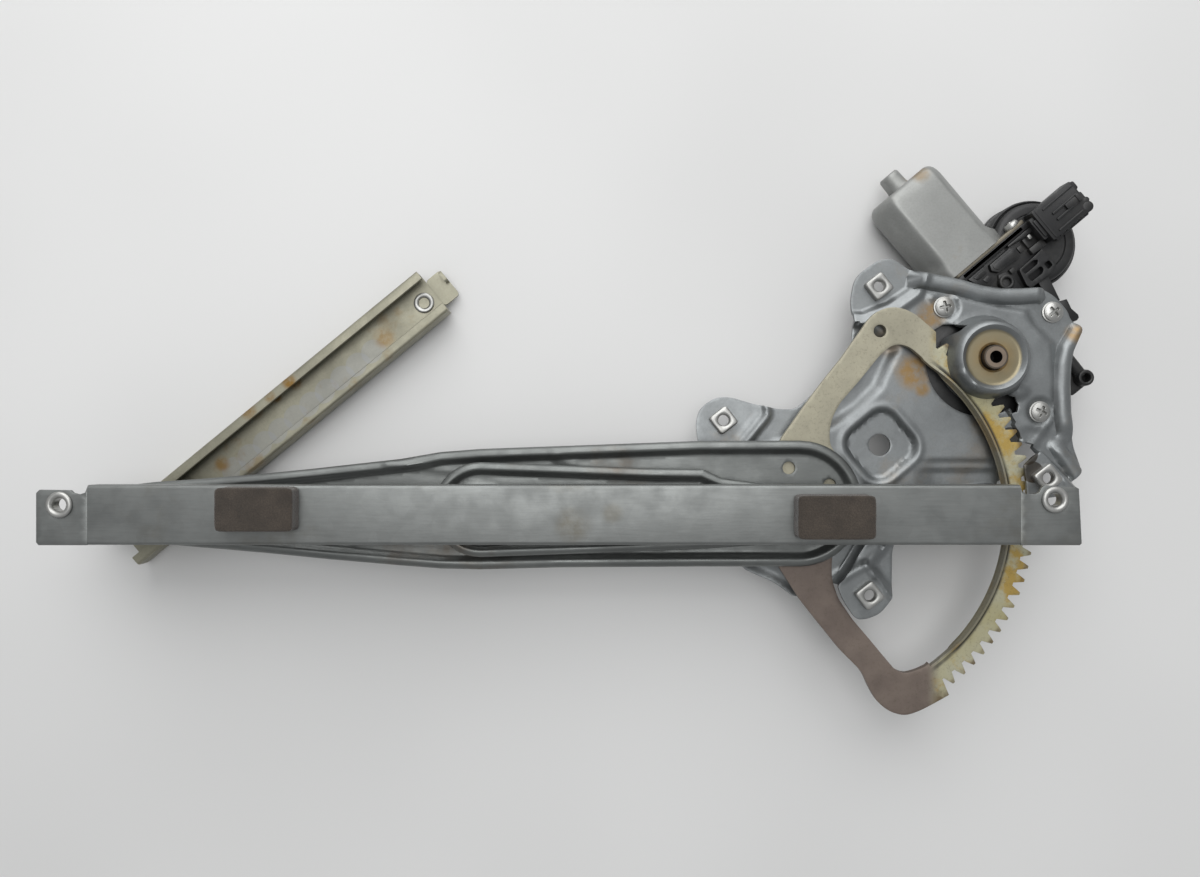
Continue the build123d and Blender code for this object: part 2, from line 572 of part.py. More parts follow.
def make_pinion():
    teeth = slab(pinion_face(), PINION_LOW, PINION_HIGH)
    shaft = pillar(Q, PINION_SHAFT, -5.4, PINION_LOW) + pillar(Q, PINION_TIP, PINION_HIGH, PINION_NOSE)
    shaft += pillar(Q, PINION_SHAFT + 0.4, PINION_LOW - 1.2, PINION_LOW)
    return teeth + shaft - pillar(Q, PINION_BORE, PINION_LOW + 5, PINION_NOSE + 0.5)


def make_worm_wheel():
    return pillar(Q, WHEEL_RADIUS, -13.4, -5.4)


CONNECTOR = (23.0, 16.5, 8.5)            # shell length, width and height, lying on the drum
SOCKET = (19.0, 13.5, 5.9)               # opens away from the motor


def on_connector(shape):
    """Place a shape drawn from the shell's closed end, with X out of its mouth and Z up from the drum."""
    x, y = along(DRUM, CAN_DIR, 4.7, 3.0)
    return Pos(x, y, DRUM_TOP) * Rot(0, 0, CAN_ANGLE - 90) * shape


def make_connector():
    """Connector shell with an open socket and a latch rib along its top."""
    length, width, height = CONNECTOR
    low = (height - SOCKET[2]) / 2
    shell = Pos(length / 2, 0, height / 2) * Box(length, width, height)
    shell += Pos(length - 7.0, 0, height + 0.6) * Box(12.0, 4.0, 1.2)
    shell -= Pos(length - SOCKET[0] / 2 + 0.5, 0, height / 2) * Box(SOCKET[0] + 1.0, SOCKET[1], SOCKET[2])
    return on_connector(shell)


def make_terminals():
    rest = CONNECTOR[0] - SOCKET[0]
    pins = [Pos(rest + 4.5, y, CONNECTOR[2] / 2) * Box(9.0, 0.8, 2.3) for y in (-3.5, 3.5)]
    return on_connector(pins[0] + pins[1])


# ---- all nodes ---------------------------------------------------------------------
def all_parts():
    nodes = {"base_plate": make_base_plate(), "plate_bridge": make_plate_bridge(),
             "plate_tab_top": make_tab(TAB_TOP, NUTS_LOW["nut_top"]),
             "plate_tab_left": make_tab(TAB_LEFT, NUTS_LOW["nut_left"]), "pivot_pin": make_pivot_pin()}
    for name, centre in NUTS_LOW.items():
        nodes[name] = make_weld_nut(centre, TAB_Z + SHEET)
    for name, centre in NUTS_HIGH.items():
        nodes[name] = make_weld_nut(centre, BRIDGE_Z + SHEET)
    for i, centre in enumerate(SCREWS):
        nodes[f"motor_screw_{i + 1}"] = make_screw(centre)
    nodes.update(gear_housing=make_gear_housing(), housing_cover=make_housing_cover(),
                 electronics_drum=make_electronics_drum(), motor_can=make_motor_can(),
                 brush_plate=make_brush_plate(), magnet_left=make_magnet(-1), magnet_right=make_magnet(1),
                 connector_shell=make_connector(), connector_terminals=make_terminals(),
                 pinion=make_pinion(), worm_wheel=make_worm_wheel(), motor_shaft=make_motor_shaft(),
                 armature_core=make_armature(), commutator=make_commutator(),
                 sector_gear=make_sector_gear(), lift_arm=make_lift_arm(),
                 lift_stud=make_stud(A, ARM_Z - 1.8, ARM_Z, ROLLER_LOW - 0.2, ROLLER_HIGH - 0.1, True),
                 equalizer_front=make_equalizer_front(), equalizer_rear=make_equalizer_rear(),
                 crossing_hub=make_crossing_hub(), crossing_rivet=make_crossing_rivet(),
                 front_stud=make_stud(B, FRONT_Z - 0.5, FRONT_Z, ROLLER_LOW - 0.2, ROLLER_HIGH - 0.1, True),
                 rear_stud=make_stud(D, REAR_Z + 3.2, REAR_Z, GUIDE_ROLLER_HIGH + 0.2,
                                     GUIDE_ROLLER_LOW + 0.1, False),
                 roller_a=make_roller(A, RAIL_WIDTH / 2 - SHEET - CHANNEL_GAP, ROLLER_LOW, ROLLER_HIGH),
                 roller_b=make_roller(B, RAIL_WIDTH / 2 - SHEET - CHANNEL_GAP, ROLLER_LOW, ROLLER_HIGH),
                 roller_d=make_roller(D, GUIDE_WIDTH / 2 - SHEET - CHANNEL_GAP,
                                      GUIDE_ROLLER_LOW, GUIDE_ROLLER_HIGH),
                 glass_rail=make_glass_rail(), guide_channel=make_guide_channel(),
                 guide_nut_upper=make_guide_nut(GUIDE_HIGH - 7.0),
                 guide_nut_lower=make_guide_nut(GUIDE_LOW + 8.0))
    for name, centre in RAIL_NUTS.items():
        nodes[name] = make_rail_nut(centre)
    for name, centre in RAIL_PADS.items():
        nodes[name] = make_pad(centre)
    return nodes


def main():
    os.makedirs("parts", exist_ok=True)
    for name, shape in all_parts().items():
        moved = Pos(-HOLE[0], -HOLE[1], 0) * shape
        moved.label = name
        export_step(moved, os.path.join("parts", name + ".step"))
        print(name, len(moved.solids()), round(moved.volume, 1))


if __name__ == "__main__":
    main()
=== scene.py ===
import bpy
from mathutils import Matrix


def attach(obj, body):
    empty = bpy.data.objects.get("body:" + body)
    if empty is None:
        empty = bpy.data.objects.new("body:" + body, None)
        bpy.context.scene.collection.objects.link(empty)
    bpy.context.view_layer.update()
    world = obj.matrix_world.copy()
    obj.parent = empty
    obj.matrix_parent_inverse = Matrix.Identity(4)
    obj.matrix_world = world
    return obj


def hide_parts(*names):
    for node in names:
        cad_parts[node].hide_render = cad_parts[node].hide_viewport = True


bl_info = {
    "name": "Window regulator pieces",
    "version": (1, 0, 0),
    "blender": (4, 5, 0),
    "location": "View3D > Sidebar > Regulator",
    "description": "Builds the visible pieces and finishes of a powered X-arm window regulator",
    "category": "Object",
}

import math

import bmesh
import bpy
import numpy as np
from bpy.props import FloatProperty, FloatVectorProperty
from mathutils import Matrix, Vector
from mathutils.geometry import convex_hull_2d, delaunay_2d_cdt

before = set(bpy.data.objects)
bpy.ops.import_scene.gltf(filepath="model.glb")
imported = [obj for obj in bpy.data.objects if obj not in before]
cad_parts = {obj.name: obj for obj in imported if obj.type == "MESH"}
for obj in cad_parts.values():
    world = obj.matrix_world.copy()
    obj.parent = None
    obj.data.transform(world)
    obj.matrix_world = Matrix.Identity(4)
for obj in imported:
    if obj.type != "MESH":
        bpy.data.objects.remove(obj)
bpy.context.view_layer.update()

MM = 0.001
HOLE = np.array([29.2, 32.1])            # locating hole, in millimetres from the main pivot
ARM_LENGTH, REST_RISE = 307.0, 2.25
SHEET = 1.6
PIVOT = np.array([0.0, 0.0])


def direction(degrees):
    """Unit plan vector at an angle from +X."""
    return np.array([math.cos(math.radians(degrees)), math.sin(math.radians(degrees))])


PINION = 104.0 * direction(43.35)
ROLLER_A = np.array([-math.sqrt(ARM_LENGTH ** 2 - REST_RISE ** 2), REST_RISE])
CROSSING = ROLLER_A / 2
ROLLER_B = np.array([0.0, REST_RISE])
ROLLER_D = np.array([ROLLER_A[0], 0.0])
CAN_DIR, CAN_SIDE = direction(130.2), direction(40.2)
FOOT = PINION + 27.8 * CAN_SIDE
MOTOR_Z = -9.4
GUIDE_TURN = 39.4
DRUM = np.array([103.2, 126.5])
EAR = np.array([125.6, 63.4])
PLATE_TOP, PAD_TOP, BRIDGE_TOP, HOOD_TOP = 5.6, 3.0, 16.0, 17.6    # upper faces of the sheets
GEAR_TOP, LIFT_TOP, FRONT_SHEET_TOP, REAR_TOP = 11.6, 13.2, 18.4, 6.6
RAIL_TOP, GUIDE_BACK = 34.5, -14.5
RAIL_NUTS = ((-331.8, 6.7), (94.5, 8.9))


# ---- arrays ------------------------------------------------------------------------
def in_mm(metres):
    """Blender's metres to the millimetres of the outlines."""
    return metres * 1000


def turn_plan(x, y, degrees, centre):
    """Plan coordinates turned about the origin and then moved to a centre."""
    c, s = math.cos(math.radians(degrees)), math.sin(math.radians(degrees))
    return centre[0] + x * c - y * s, centre[1] + x * s + y * c


def flat_at(z):
    """Height function of a flat sheet."""
    return lambda xy: np.full(len(xy), z)


def smooth(t):
    """Smooth step: 3t^2 - 2t^3 with t held between 0 and 1."""
    t = np.clip(t, 0.0, 1.0)
    return t * t * (3.0 - 2.0 * t)


def segment_distance(points, line):
    """Distance of each point to an open line: the least over its segments of |p - (a + t(b - a))|."""
    line = np.asarray(line, float)
    a, b = line[:-1], line[1:]
    ab = b - a
    rel = points[:, None, :] - a[None]
    t = np.clip((rel * ab).sum(2) / np.maximum((ab * ab).sum(1), 1e-12), 0.0, 1.0)
    return np.sqrt(((rel - t[..., None] * ab) ** 2).sum(2)).min(1)


def inside(points, polygon):
    """True where a ray along +X from the point crosses the polygon an odd number of times."""
    a = np.asarray(polygon, float)
    b = np.roll(a, -1, axis=0)
    x, y = points[:, :1], points[:, 1:]
    spans = (a[:, 1] > y) != (b[:, 1] > y)
    rise = np.where(b[:, 1] == a[:, 1], 1e-12, b[:, 1] - a[:, 1])
    cross = a[:, 0] + (y - a[:, 1]) * (b[:, 0] - a[:, 0]) / rise
    return ((spans & (x < cross)).sum(1) % 2) == 1


def depth_in(points, polygon):
    """Signed distance to a closed polygon, positive inside."""
    loop = np.vstack([polygon, polygon[:1]])
    d = segment_distance(points, loop)
    return np.where(inside(points, polygon), d, -d)


def circle_points(centre, radius, count=32, start=0.0, end=360.0):
    """Points of a circle, or of an arc with both its ends."""
    a = np.radians(np.linspace(start, end, count, endpoint=(end - start) < 359.9))
    return np.stack([centre[0] + radius * np.cos(a), centre[1] + radius * np.sin(a)], 1)


def rounded(points, radius, chords=5, open_ends=False):
    """Polygon whose corners become quadratic curves from radius before to radius after each corner; with open ends
    the first and last points keep their sharp places."""
    p = np.asarray(points, float)
    before, after = np.roll(p, 1, axis=0) - p, np.roll(p, -1, axis=0) - p
    lb, la = np.linalg.norm(before, axis=1), np.linalg.norm(after, axis=1)
    cut = np.minimum(radius, 0.45 * np.minimum(lb, la))
    s = p + before * (cut / lb)[:, None]
    e = p + after * (cut / la)[:, None]
    t = np.linspace(0, 1, chords)[None, :, None]
    curve = (1 - t) ** 2 * s[:, None] + 2 * t * (1 - t) * p[:, None] + t * t * e[:, None]
    if open_ends:
        return np.vstack([p[:1], curve[1:-1].reshape(-1, 2), p[-1:]])
    return curve.reshape(-1, 2)


def densify(polygon, step):
    """Split the sides of a closed polygon into pieces no longer than step."""
    p = np.asarray(polygon, float)
    q = np.roll(p, -1, axis=0)
    out = []
    for a, b in zip(p, q):
        n = max(1, int(math.ceil(np.linalg.norm(b - a) / step)))
        out.append(a + (b - a) * (np.arange(n) / n)[:, None])
    return np.vstack(out)


# ---- meshes ------------------------------------------------------------------------
ROW_PITCH = 0.866                        # rows of an even triangular grid, as a share of its step
SLIVER = 2e-3                            # twice the area in mm2 under which a triangle is left out
RIM_CLEAR, BAND_CLEAR, BAND_STEP = 0.45, 0.35, 0.8       # gaps beside rims and bands, as shares of the step
BAND_SLACK = 0.15                        # millimetres by which a row may come nearer to its line


def to_row(xyz):
    """Millimetres about the main pivot to metres about the locating hole."""
    v = np.asarray(xyz, float).copy()
    v[..., 0] -= HOLE[0]
    v[..., 1] -= HOLE[1]
    return v * MM


def new_object(name, vertices, faces, finish, body, nodes=(), slot=None):
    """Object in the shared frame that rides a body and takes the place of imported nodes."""
    mesh = bpy.data.meshes.new(name)
    mesh.from_pydata(to_row(vertices).tolist(), [], [tuple(int(i) for i in f) for f in faces])
    mesh.validate()
    mesh.update()
    obj = bpy.data.objects.new(name, mesh)
    bpy.context.scene.collection.objects.link(obj)
    mesh.materials.append(FINISH[finish])
    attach(obj, body)
    slot or SLOT[finish]
    if nodes:
        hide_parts(*nodes)
    return obj


def finish_mesh(obj, weld=0.0, sheet=0.0, bevel=0.0, angle=50.0, sharp=38.0):
    """Weld a solid and turn its faces outward, or give a sheet its thickness; then round the corners, apply and
    mark sharp edges."""
    if weld:
        bm = bmesh.new()
        bm.from_mesh(obj.data)
        bmesh.ops.remove_doubles(bm, verts=bm.verts, dist=weld)
        bmesh.ops.recalc_face_normals(bm, faces=bm.faces)
        bm.to_mesh(obj.data)
        bm.free()
    if sheet:
        m = obj.modifiers.new("sheet", "SOLIDIFY")
        m.thickness, m.offset, m.use_quality_normals = sheet * MM, -1.0, True
    if bevel:
        m = obj.modifiers.new("edge", "BEVEL")
        m.width, m.segments, m.limit_method = bevel * MM, 2, "ANGLE"
        m.angle_limit = math.radians(angle)
        m.harden_normals = False
        m.use_clamp_overlap = True
    bpy.context.view_layer.update()
    dg = bpy.context.evaluated_depsgraph_get()
    done = bpy.data.meshes.new_from_object(obj.evaluated_get(dg))
    obj.modifiers.clear()
    obj.data = done
    done.polygons.foreach_set("use_smooth", np.ones(len(done.polygons), bool))
    done.set_sharp_from_angle(angle=math.radians(sharp))
    return obj


def offset_rows(line, offsets, step, closed=False):
    """Points on lines parallel to a line: the line is resampled at even steps and moved along its normals."""
    p = np.asarray(line, float)
    if closed:
        p = np.vstack([p, p[:1]])
    length = np.concatenate([[0], np.cumsum(np.linalg.norm(np.diff(p, axis=0), axis=1))])
    n = max(4, int(round(length[-1] / step)))
    t = np.linspace(0, length[-1], n, endpoint=not closed)
    q = np.stack([np.interp(t, length, p[:, 0]), np.interp(t, length, p[:, 1])], 1)
    if closed:
        d = np.roll(q, -1, axis=0) - np.roll(q, 1, axis=0)
    else:
        d = np.gradient(q, axis=0)
    d /= np.maximum(np.linalg.norm(d, axis=1, keepdims=True), 1e-9)
    normal = np.stack([-d[:, 1], d[:, 0]], 1)
    rows = q[None] + np.asarray(offsets, float)[:, None, None] * normal[None]
    off = np.abs(offsets)[:, None]
    near = segment_distance(rows.reshape(-1, 2), p).reshape(len(offsets), -1)
    return rows[near > off - BAND_SLACK], q


def stamping(name, outline, holes, height, step, finish, body, nodes=(), sheet=SHEET, bevel=0.35, edge_step=None,
             bands=()):
    """A pressed sheet: the outline and its holes are triangulated over an even grid and each point is
    lifted to height(x, y), the top face of the sheet. Where the relief is steep, bands of points that run
    beside a line take the place of the grid."""
    edge_step = edge_step or step
    loops = [densify(outline, edge_step)] + [densify(h, edge_step) for h in holes]
    lo, hi = loops[0].min(0), loops[0].max(0)
    gx, gy = np.arange(lo[0], hi[0], step), np.arange(lo[1], hi[1], step * ROW_PITCH)
    xx, yy = np.meshgrid(gx, gy)
    xx = xx + (np.arange(len(gy)) % 2)[:, None] * step / 2
    grid = np.stack([xx.ravel(), yy.ravel()], 1)
    rows = []
    for line, offsets, closed in bands:
        pts, q = offset_rows(line, offsets, step * BAND_STEP, closed)
        loop = np.vstack([q, q[:1]]) if closed else q
        reach = max(abs(o) for o in offsets) + BAND_CLEAR * step
        grid = grid[segment_distance(grid, loop) > reach]
        rows = [r[segment_distance(r, loop) > reach] for r in rows] + [pts]
    if rows:
        grid = np.vstack([grid] + rows)
    keep = depth_in(grid, loops[0]) > RIM_CLEAR * edge_step
    for h in loops[1:]:
        keep[keep] = depth_in(grid[keep], h) < -RIM_CLEAR * edge_step
    grid = grid[keep]
    verts = np.vstack(loops + [grid])
    edges, start = [], 0
    for loop in loops:
        i = np.arange(len(loop))
        edges.append(np.stack([start + i, start + np.roll(i, -1)], 1))
        start += len(loop)
    out = delaunay_2d_cdt([Vector(v) for v in verts], np.vstack(edges).tolist(), [], 0, 1e-5)
    v2 = np.array([tuple(v) for v in out[0]])
    tri = np.array(out[2])
    mid = v2[tri].mean(1)
    ok = inside(mid, loops[0])
    for h in loops[1:]:
        ok &= ~inside(mid, h)
    tri = tri[ok]
    a, b, c = v2[tri[:, 0]], v2[tri[:, 1]], v2[tri[:, 2]]
    turn = (b[:, 0] - a[:, 0]) * (c[:, 1] - a[:, 1]) - (b[:, 1] - a[:, 1]) * (c[:, 0] - a[:, 0])
    tri[turn < 0] = tri[turn < 0][:, ::-1]
    used, tri = np.unique(tri[np.abs(turn) > SLIVER], return_inverse=True)
    v2, tri = v2[used], tri.reshape(-1, 3)
    xyz = np.column_stack([v2, height(v2)])
    obj = new_object(name, xyz, tri, finish, body, nodes)
    return finish_mesh(obj, sheet=sheet, bevel=bevel, angle=62)


def grid_faces(rows, cols, close_rows=False, close_cols=False):
    """Quads of a grid of points, optionally wrapped in either direction."""
    i = np.arange(rows if close_rows else rows - 1)
    j = np.arange(cols if close_cols else cols - 1)
    a, b = np.meshgrid(i, j, indexing="ij")
    i2, j2 = (a + 1) % rows, (b + 1) % cols
    return np.stack([a * cols + b, i2 * cols + b, i2 * cols + j2, a * cols + j2], -1).reshape(-1, 4)


def skin(rings, capped=False):
    """Vertices and faces of closed rings of points; when capped, the first and last ring are filled."""
    rows, cols = rings.shape[:2]
    faces = grid_faces(rows, cols, close_cols=True).tolist()
    if capped:
        faces += [list(range(cols))[::-1], list(range((rows - 1) * cols, rows * cols))]
    return rings.reshape(-1, 3), faces


def turned(profile, centre, count=40, axes=None):
    """Surface of revolution: each profile point (radius, height) is carried round the axis."""
    p = np.asarray(profile, float)
    a = np.linspace(0, 2 * math.pi, count, endpoint=False)
    x, y = p[:, :1] * np.cos(a), p[:, :1] * np.sin(a)
    z = np.repeat(p[:, 1:], count, axis=1)
    if axes is None:
        return skin(np.stack([x + centre[0], y + centre[1], z], -1))
    ex, ey, ez = (np.asarray(e, float) for e in axes)
    return skin(np.asarray(centre, float) + x[..., None] * ex + y[..., None] * ey + z[..., None] * ez)


def joined(parts):
    """Stack several (vertices, faces) into one."""
    verts, faces, start = [], [], 0
    for v, f in parts:
        verts.append(v)
        faces += [[int(i) + start for i in face] for face in f]
        start += len(v)
    return np.vstack(verts), faces


def solid_piece(name, parts, finish, body, nodes=(), bevel=0.0, sharp=38.0, weld=1e-7, slot=None):
    """One piece from several closed (vertices, faces)."""
    obj = new_object(name, *joined(parts), finish, body, nodes, slot)
    return finish_mesh(obj, weld=weld, bevel=bevel, sharp=sharp)


def turned_piece(name, profile, centre, finish, body, nodes, sharp=38.0, count=40, slot=None):
    """One piece turned from a closed profile about an upright axis."""
    return solid_piece(name, [turned(profile, centre, count)], finish, body, nodes, sharp=sharp, weld=1e-6, slot=slot)


def prism(outline, z0, z1, place=None):
    """Closed prism over a polygon; place maps local (x, y, z) arrays to millimetres."""
    p = np.asarray(outline, float)
    n = len(p)
    v = np.vstack([np.column_stack([p, np.full(n, z0)]), np.column_stack([p, np.full(n, z1)])])
    i = np.arange(n)
    j = (i + 1) % n
    sides = np.stack([i, j, j + n, i + n], 1).tolist()
    faces = sides + [list(range(n))[::-1], list(range(n, 2 * n))]
    return (v if place is None else place(v)), faces


def bar(p0, p1, width, z0, z1, place=None):
    """Straight wall between two plan points."""
    p0, p1 = np.asarray(p0, float), np.asarray(p1, float)
    d = (p1 - p0) / np.linalg.norm(p1 - p0)
    n = np.array([-d[1], d[0]]) * width / 2
    return prism([p0 - n, p1 - n, p1 + n, p0 + n], z0, z1, place)


# ---- finishes ----------------------------------------------------------------------
class Graph:
    """Small helper that adds and joins shader nodes."""

    def __init__(self, name):
        self.material = bpy.data.materials.new(name)
        self.material.use_nodes = True
        self.tree = self.material.node_tree
        self.tree.nodes.clear()
        self.shader = self.node("BsdfPrincipled", {})
        self.node("OutputMaterial", {0: self.shader.outputs[0]})
        self.coords = self.node("TexCoord", {}).outputs["Object"]

    def put(self, socket, value):
        """Link a socket to a socket, or set its constant."""
        if isinstance(value, bpy.types.NodeSocket):
            self.tree.links.new(value, socket)
        elif isinstance(value, (tuple, list)) and len(value) == 3 and socket.type == "RGBA":
            socket.default_value = (*value, 1.0)
        else:
            socket.default_value = value

    def node(self, kind, inputs, **settings):
        """Add a node with its settings, and fill its inputs by name or number."""
        n = self.tree.nodes.new("ShaderNode" + kind)
        for key, value in settings.items():
            setattr(n, key, value)
        for key, value in inputs.items():
            self.put(n.inputs[key], value)
        return n

    def noise(self, scale, detail=4.0, rough=0.55, stretch=None):
        """Cloudy value between 0 and 1."""
        at = self.coords if stretch is None else self.mapped(stretch)
        return self.node("TexNoise", {"Scale": scale, "Detail": detail, "Roughness": rough, "Distortion": 0.0,
                                      "Vector": at}).outputs["Fac"]

    def mapped(self, scale):
        """Object coordinates, scaled along each axis."""
        return self.node("Mapping", {"Scale": scale, "Vector": self.coords}).outputs[0]

    def cells(self, scale):
        """A grey tone for each cell of a broken pattern."""
        cells = self.node("TexVoronoi", {"Scale": scale, "Vector": self.coords})
        return self.node("RGBToBW", {0: cells.outputs["Color"]}).outputs[0]

    def math(self, kind, a, b=0.0, c=0.0, clamp=False):
        """Result of a sum on values."""
        return self.node("Math", {0: a, 1: b, 2: c}, operation=kind, use_clamp=clamp).outputs[0]

    def ramp(self, value, low, high, out_low=0.0, out_high=1.0):
        """Smooth step of a value from one range to another."""
        return self.node("MapRange", {0: value, 1: low, 2: high, 3: out_low, 4: out_high},
                         interpolation_type="SMOOTHSTEP").outputs[0]

    def mix(self, factor, a, b, kind="MIX"):
        """Blend of two colours."""
        n = self.node("Mix", {"Factor": factor, "A": a, "B": b}, data_type="RGBA", blend_type=kind)
        return n.outputs["Result"]

    def near(self, centre, radius, soft):
        """1 within the soft share of a radius round a plan point, falling to 0 at the radius (millimetres about the
        main pivot)."""
        p = to_row(np.array([centre[0], centre[1], 0.0]))
        d = self.node("VectorMath", {0: self.mapped((1, 1, 0)), 1: (p[0], p[1], 0.0)}, operation="DISTANCE")
        return self.ramp(d.outputs["Value"], radius * MM, radius * soft * MM)

    def bump(self, height, strength, distance):
        """Relief of the shaded surface."""
        n = self.node("Bump", {"Strength": strength, "Distance": distance, "Height": height})
        self.put(self.shader.inputs["Normal"], n.outputs[0])

    def done(self, color, rough, metallic=0.0, **sockets):
        """The material, once its shader's inputs are filled."""
        self.put(self.shader.inputs["Base Color"], color)
        self.put(self.shader.inputs["Roughness"], rough)
        self.put(self.shader.inputs["Metallic"], metallic)
        for k, v in sockets.items():
            self.put(self.shader.inputs[k.replace("_", " ")], v)
        return self.material


def shade(color, factor):
    """Colour made darker or lighter by a factor."""
    return tuple(c * factor for c in color)


GREASE = (0.30, 0.17, 0.035)
# dark tone of grime and grease, also used as painted shade on the plate between the gear's teeth
GRIME_AND_PAINTED_SHADE = (0.035, 0.028, 0.02)


def steel(name, color, rough=0.42, metallic=0.75, mottle=0.12, spangle=0.0, stain=GREASE, stain_amount=0.25,
          stain_scale=35.0, low=0.55, high=0.72, grain=None, spots=(), tints=(), speckle=0.25, bump=0.12):
    """Sheet steel: cloudy tone, fine speckle, optional zinc spangle, discs of another tone, and stains where noise
    or a spot asks."""
    g = Graph(name)
    cloud = g.noise(28.0, 5.0)
    base = g.mix(g.ramp(cloud, 0.3, 0.7), shade(color, 1 - mottle), shade(color, 1 + mottle))
    fine = g.noise(900.0, 3.0, 0.7, stretch=grain)
    base = g.mix(g.ramp(fine, 0.35, 0.75, 0.0, speckle), base, shade(color, 0.62))
    if spangle:
        base = g.mix(spangle, base, g.cells(170.0), "OVERLAY")
    mask = g.math("MULTIPLY", g.ramp(g.noise(stain_scale, 6.0, 0.65), low, high), stain_amount)
    for centre, radius, amount in spots:
        broken = g.ramp(g.noise(120.0, 5.0, 0.7), 0.35, 0.62, 0.35, 1.0)
        local = g.math("MULTIPLY", g.math("MULTIPLY", g.near(centre, radius, 0.35), broken), amount)
        mask = g.math("MAXIMUM", mask, local)
    for centre, radius, amount, tone in tints:
        base = g.mix(g.math("MULTIPLY", g.near(centre, radius, 0.93), amount), base, tone)
    base = g.mix(mask, base, stain)
    roughness = g.ramp(g.noise(90.0, 4.0), 0.3, 0.7, rough - 0.07, rough + 0.09)
    g.bump(g.math("ADD", g.math("MULTIPLY", fine, 0.5), g.noise(160.0, 3.0)), bump, 0.0003)
    return g.done(base, roughness, metallic)


def plastic(name, color, rough=0.45, dust=0.14, grain=1400.0):
    """Moulded plastic: fine texture with paler dust in patches."""
    g = Graph(name)
    fine = g.noise(grain, 2.0)
    dusty = g.math("MULTIPLY", g.ramp(g.noise(60.0, 5.0, 0.7), 0.45, 0.75), dust)
    base = g.mix(dusty, color, (0.11, 0.105, 0.095))
    g.bump(fine, 0.18, 0.0002)
    return g.done(base, g.ramp(g.noise(70.0, 3.0), 0.3, 0.7, rough - 0.08, rough + 0.12), 0.0)


def gear_finish(name, color):
    """Gear steel in plan zones: brown lower arm, beige upper arm, greasy toothed side with amber patches, dark
    tooth edges and painted shade in a dark band beside the window's curl, where its raised wall casts shadow."""
    g = Graph(name)
    axes = g.tree.nodes.new("ShaderNodeSeparateXYZ")
    g.put(axes.inputs[0], g.coords)
    low = g.ramp(axes.outputs["Y"], -0.028, -0.038)
    left = g.ramp(axes.outputs["X"], 0.026, 0.018)
    right = g.ramp(left, 1.0, 0.0)
    fine = g.noise(900.0, 3.0, 0.7)
    cloud = g.noise(40.0, 5.0, 0.6)
    base = g.mix(g.ramp(cloud, 0.3, 0.7), shade(color, 0.80), shade(color, 1.12))
    tooth_tone = g.mix(g.ramp(g.noise(24.0, 4.0), 0.35, 0.65), (0.36, 0.32, 0.15), (0.42, 0.405, 0.29))
    base = g.mix(left, tooth_tone, base)
    amber = g.ramp(g.noise(38.0, 5.0, 0.65), 0.50, 0.62, 0.0, 0.8)
    base = g.mix(g.math("MULTIPLY", amber, right), base, (0.40, 0.25, 0.025))
    brown = g.mix(g.ramp(cloud, 0.3, 0.7), (0.125, 0.098, 0.084), (0.185, 0.148, 0.124))
    base = g.mix(g.math("MULTIPLY", low, left), base, brown)
    rim = g.ramp(g.near(PIVOT, 96.6, 0.967), 1.0, 0.0)
    tips = g.math("MULTIPLY", rim, g.ramp(g.noise(80.0), 0.38, 0.6, 0.1, 0.8))
    base = g.mix(g.math("MULTIPLY", tips, right), base, (0.09, 0.05, 0.02))
    # painted shade: a dark band from 85.6 to 87.6 mm about the pivot, the shadow beside the raised wall of the
    # window's curl
    ring = g.math("SUBTRACT", g.near(PIVOT, 87.6, 0.985), g.near(PIVOT, 85.6, 0.994), clamp=True)
    ring = g.math("MULTIPLY", g.math("MULTIPLY", ring, right), g.ramp(g.noise(70.0), 0.3, 0.5, 0.55, 0.95))
    base = g.mix(ring, base, (0.045, 0.042, 0.036))
    curl = g.math("MULTIPLY", g.near(PIVOT, 85.2, 0.995), right)
    base = g.mix(g.math("MULTIPLY", curl, 0.75), base, (0.16, 0.15, 0.13))
    base = g.mix(g.ramp(fine, 0.5, 0.8, 0.0, 0.45), base, (0.08, 0.065, 0.045))
    g.bump(g.math("ADD", g.math("MULTIPLY", fine, 0.5), cloud), 0.14, 0.0003)
    return g.done(base, g.ramp(cloud, 0.3, 0.7, 0.40, 0.58), 0.45)


def foam(name, color):
    """Dusty cell foam: dark pores over a brown felt tone."""
    g = Graph(name)
    pores = g.noise(1500.0, 4.0, 0.75)
    cloud = g.noise(70.0, 4.0, 0.6)
    base = g.mix(g.ramp(cloud, 0.3, 0.72), shade(color, 0.72), shade(color, 1.35))
    base = g.mix(g.ramp(pores, 0.4, 0.62, 0.55, 0.0), base, shade(color, 0.35))
    g.bump(g.math("ADD", pores, g.math("MULTIPLY", cloud, 0.8)), 0.7, 0.0006)
    return g.done(base, 0.93, 0.0, Sheen_Weight=0.25)


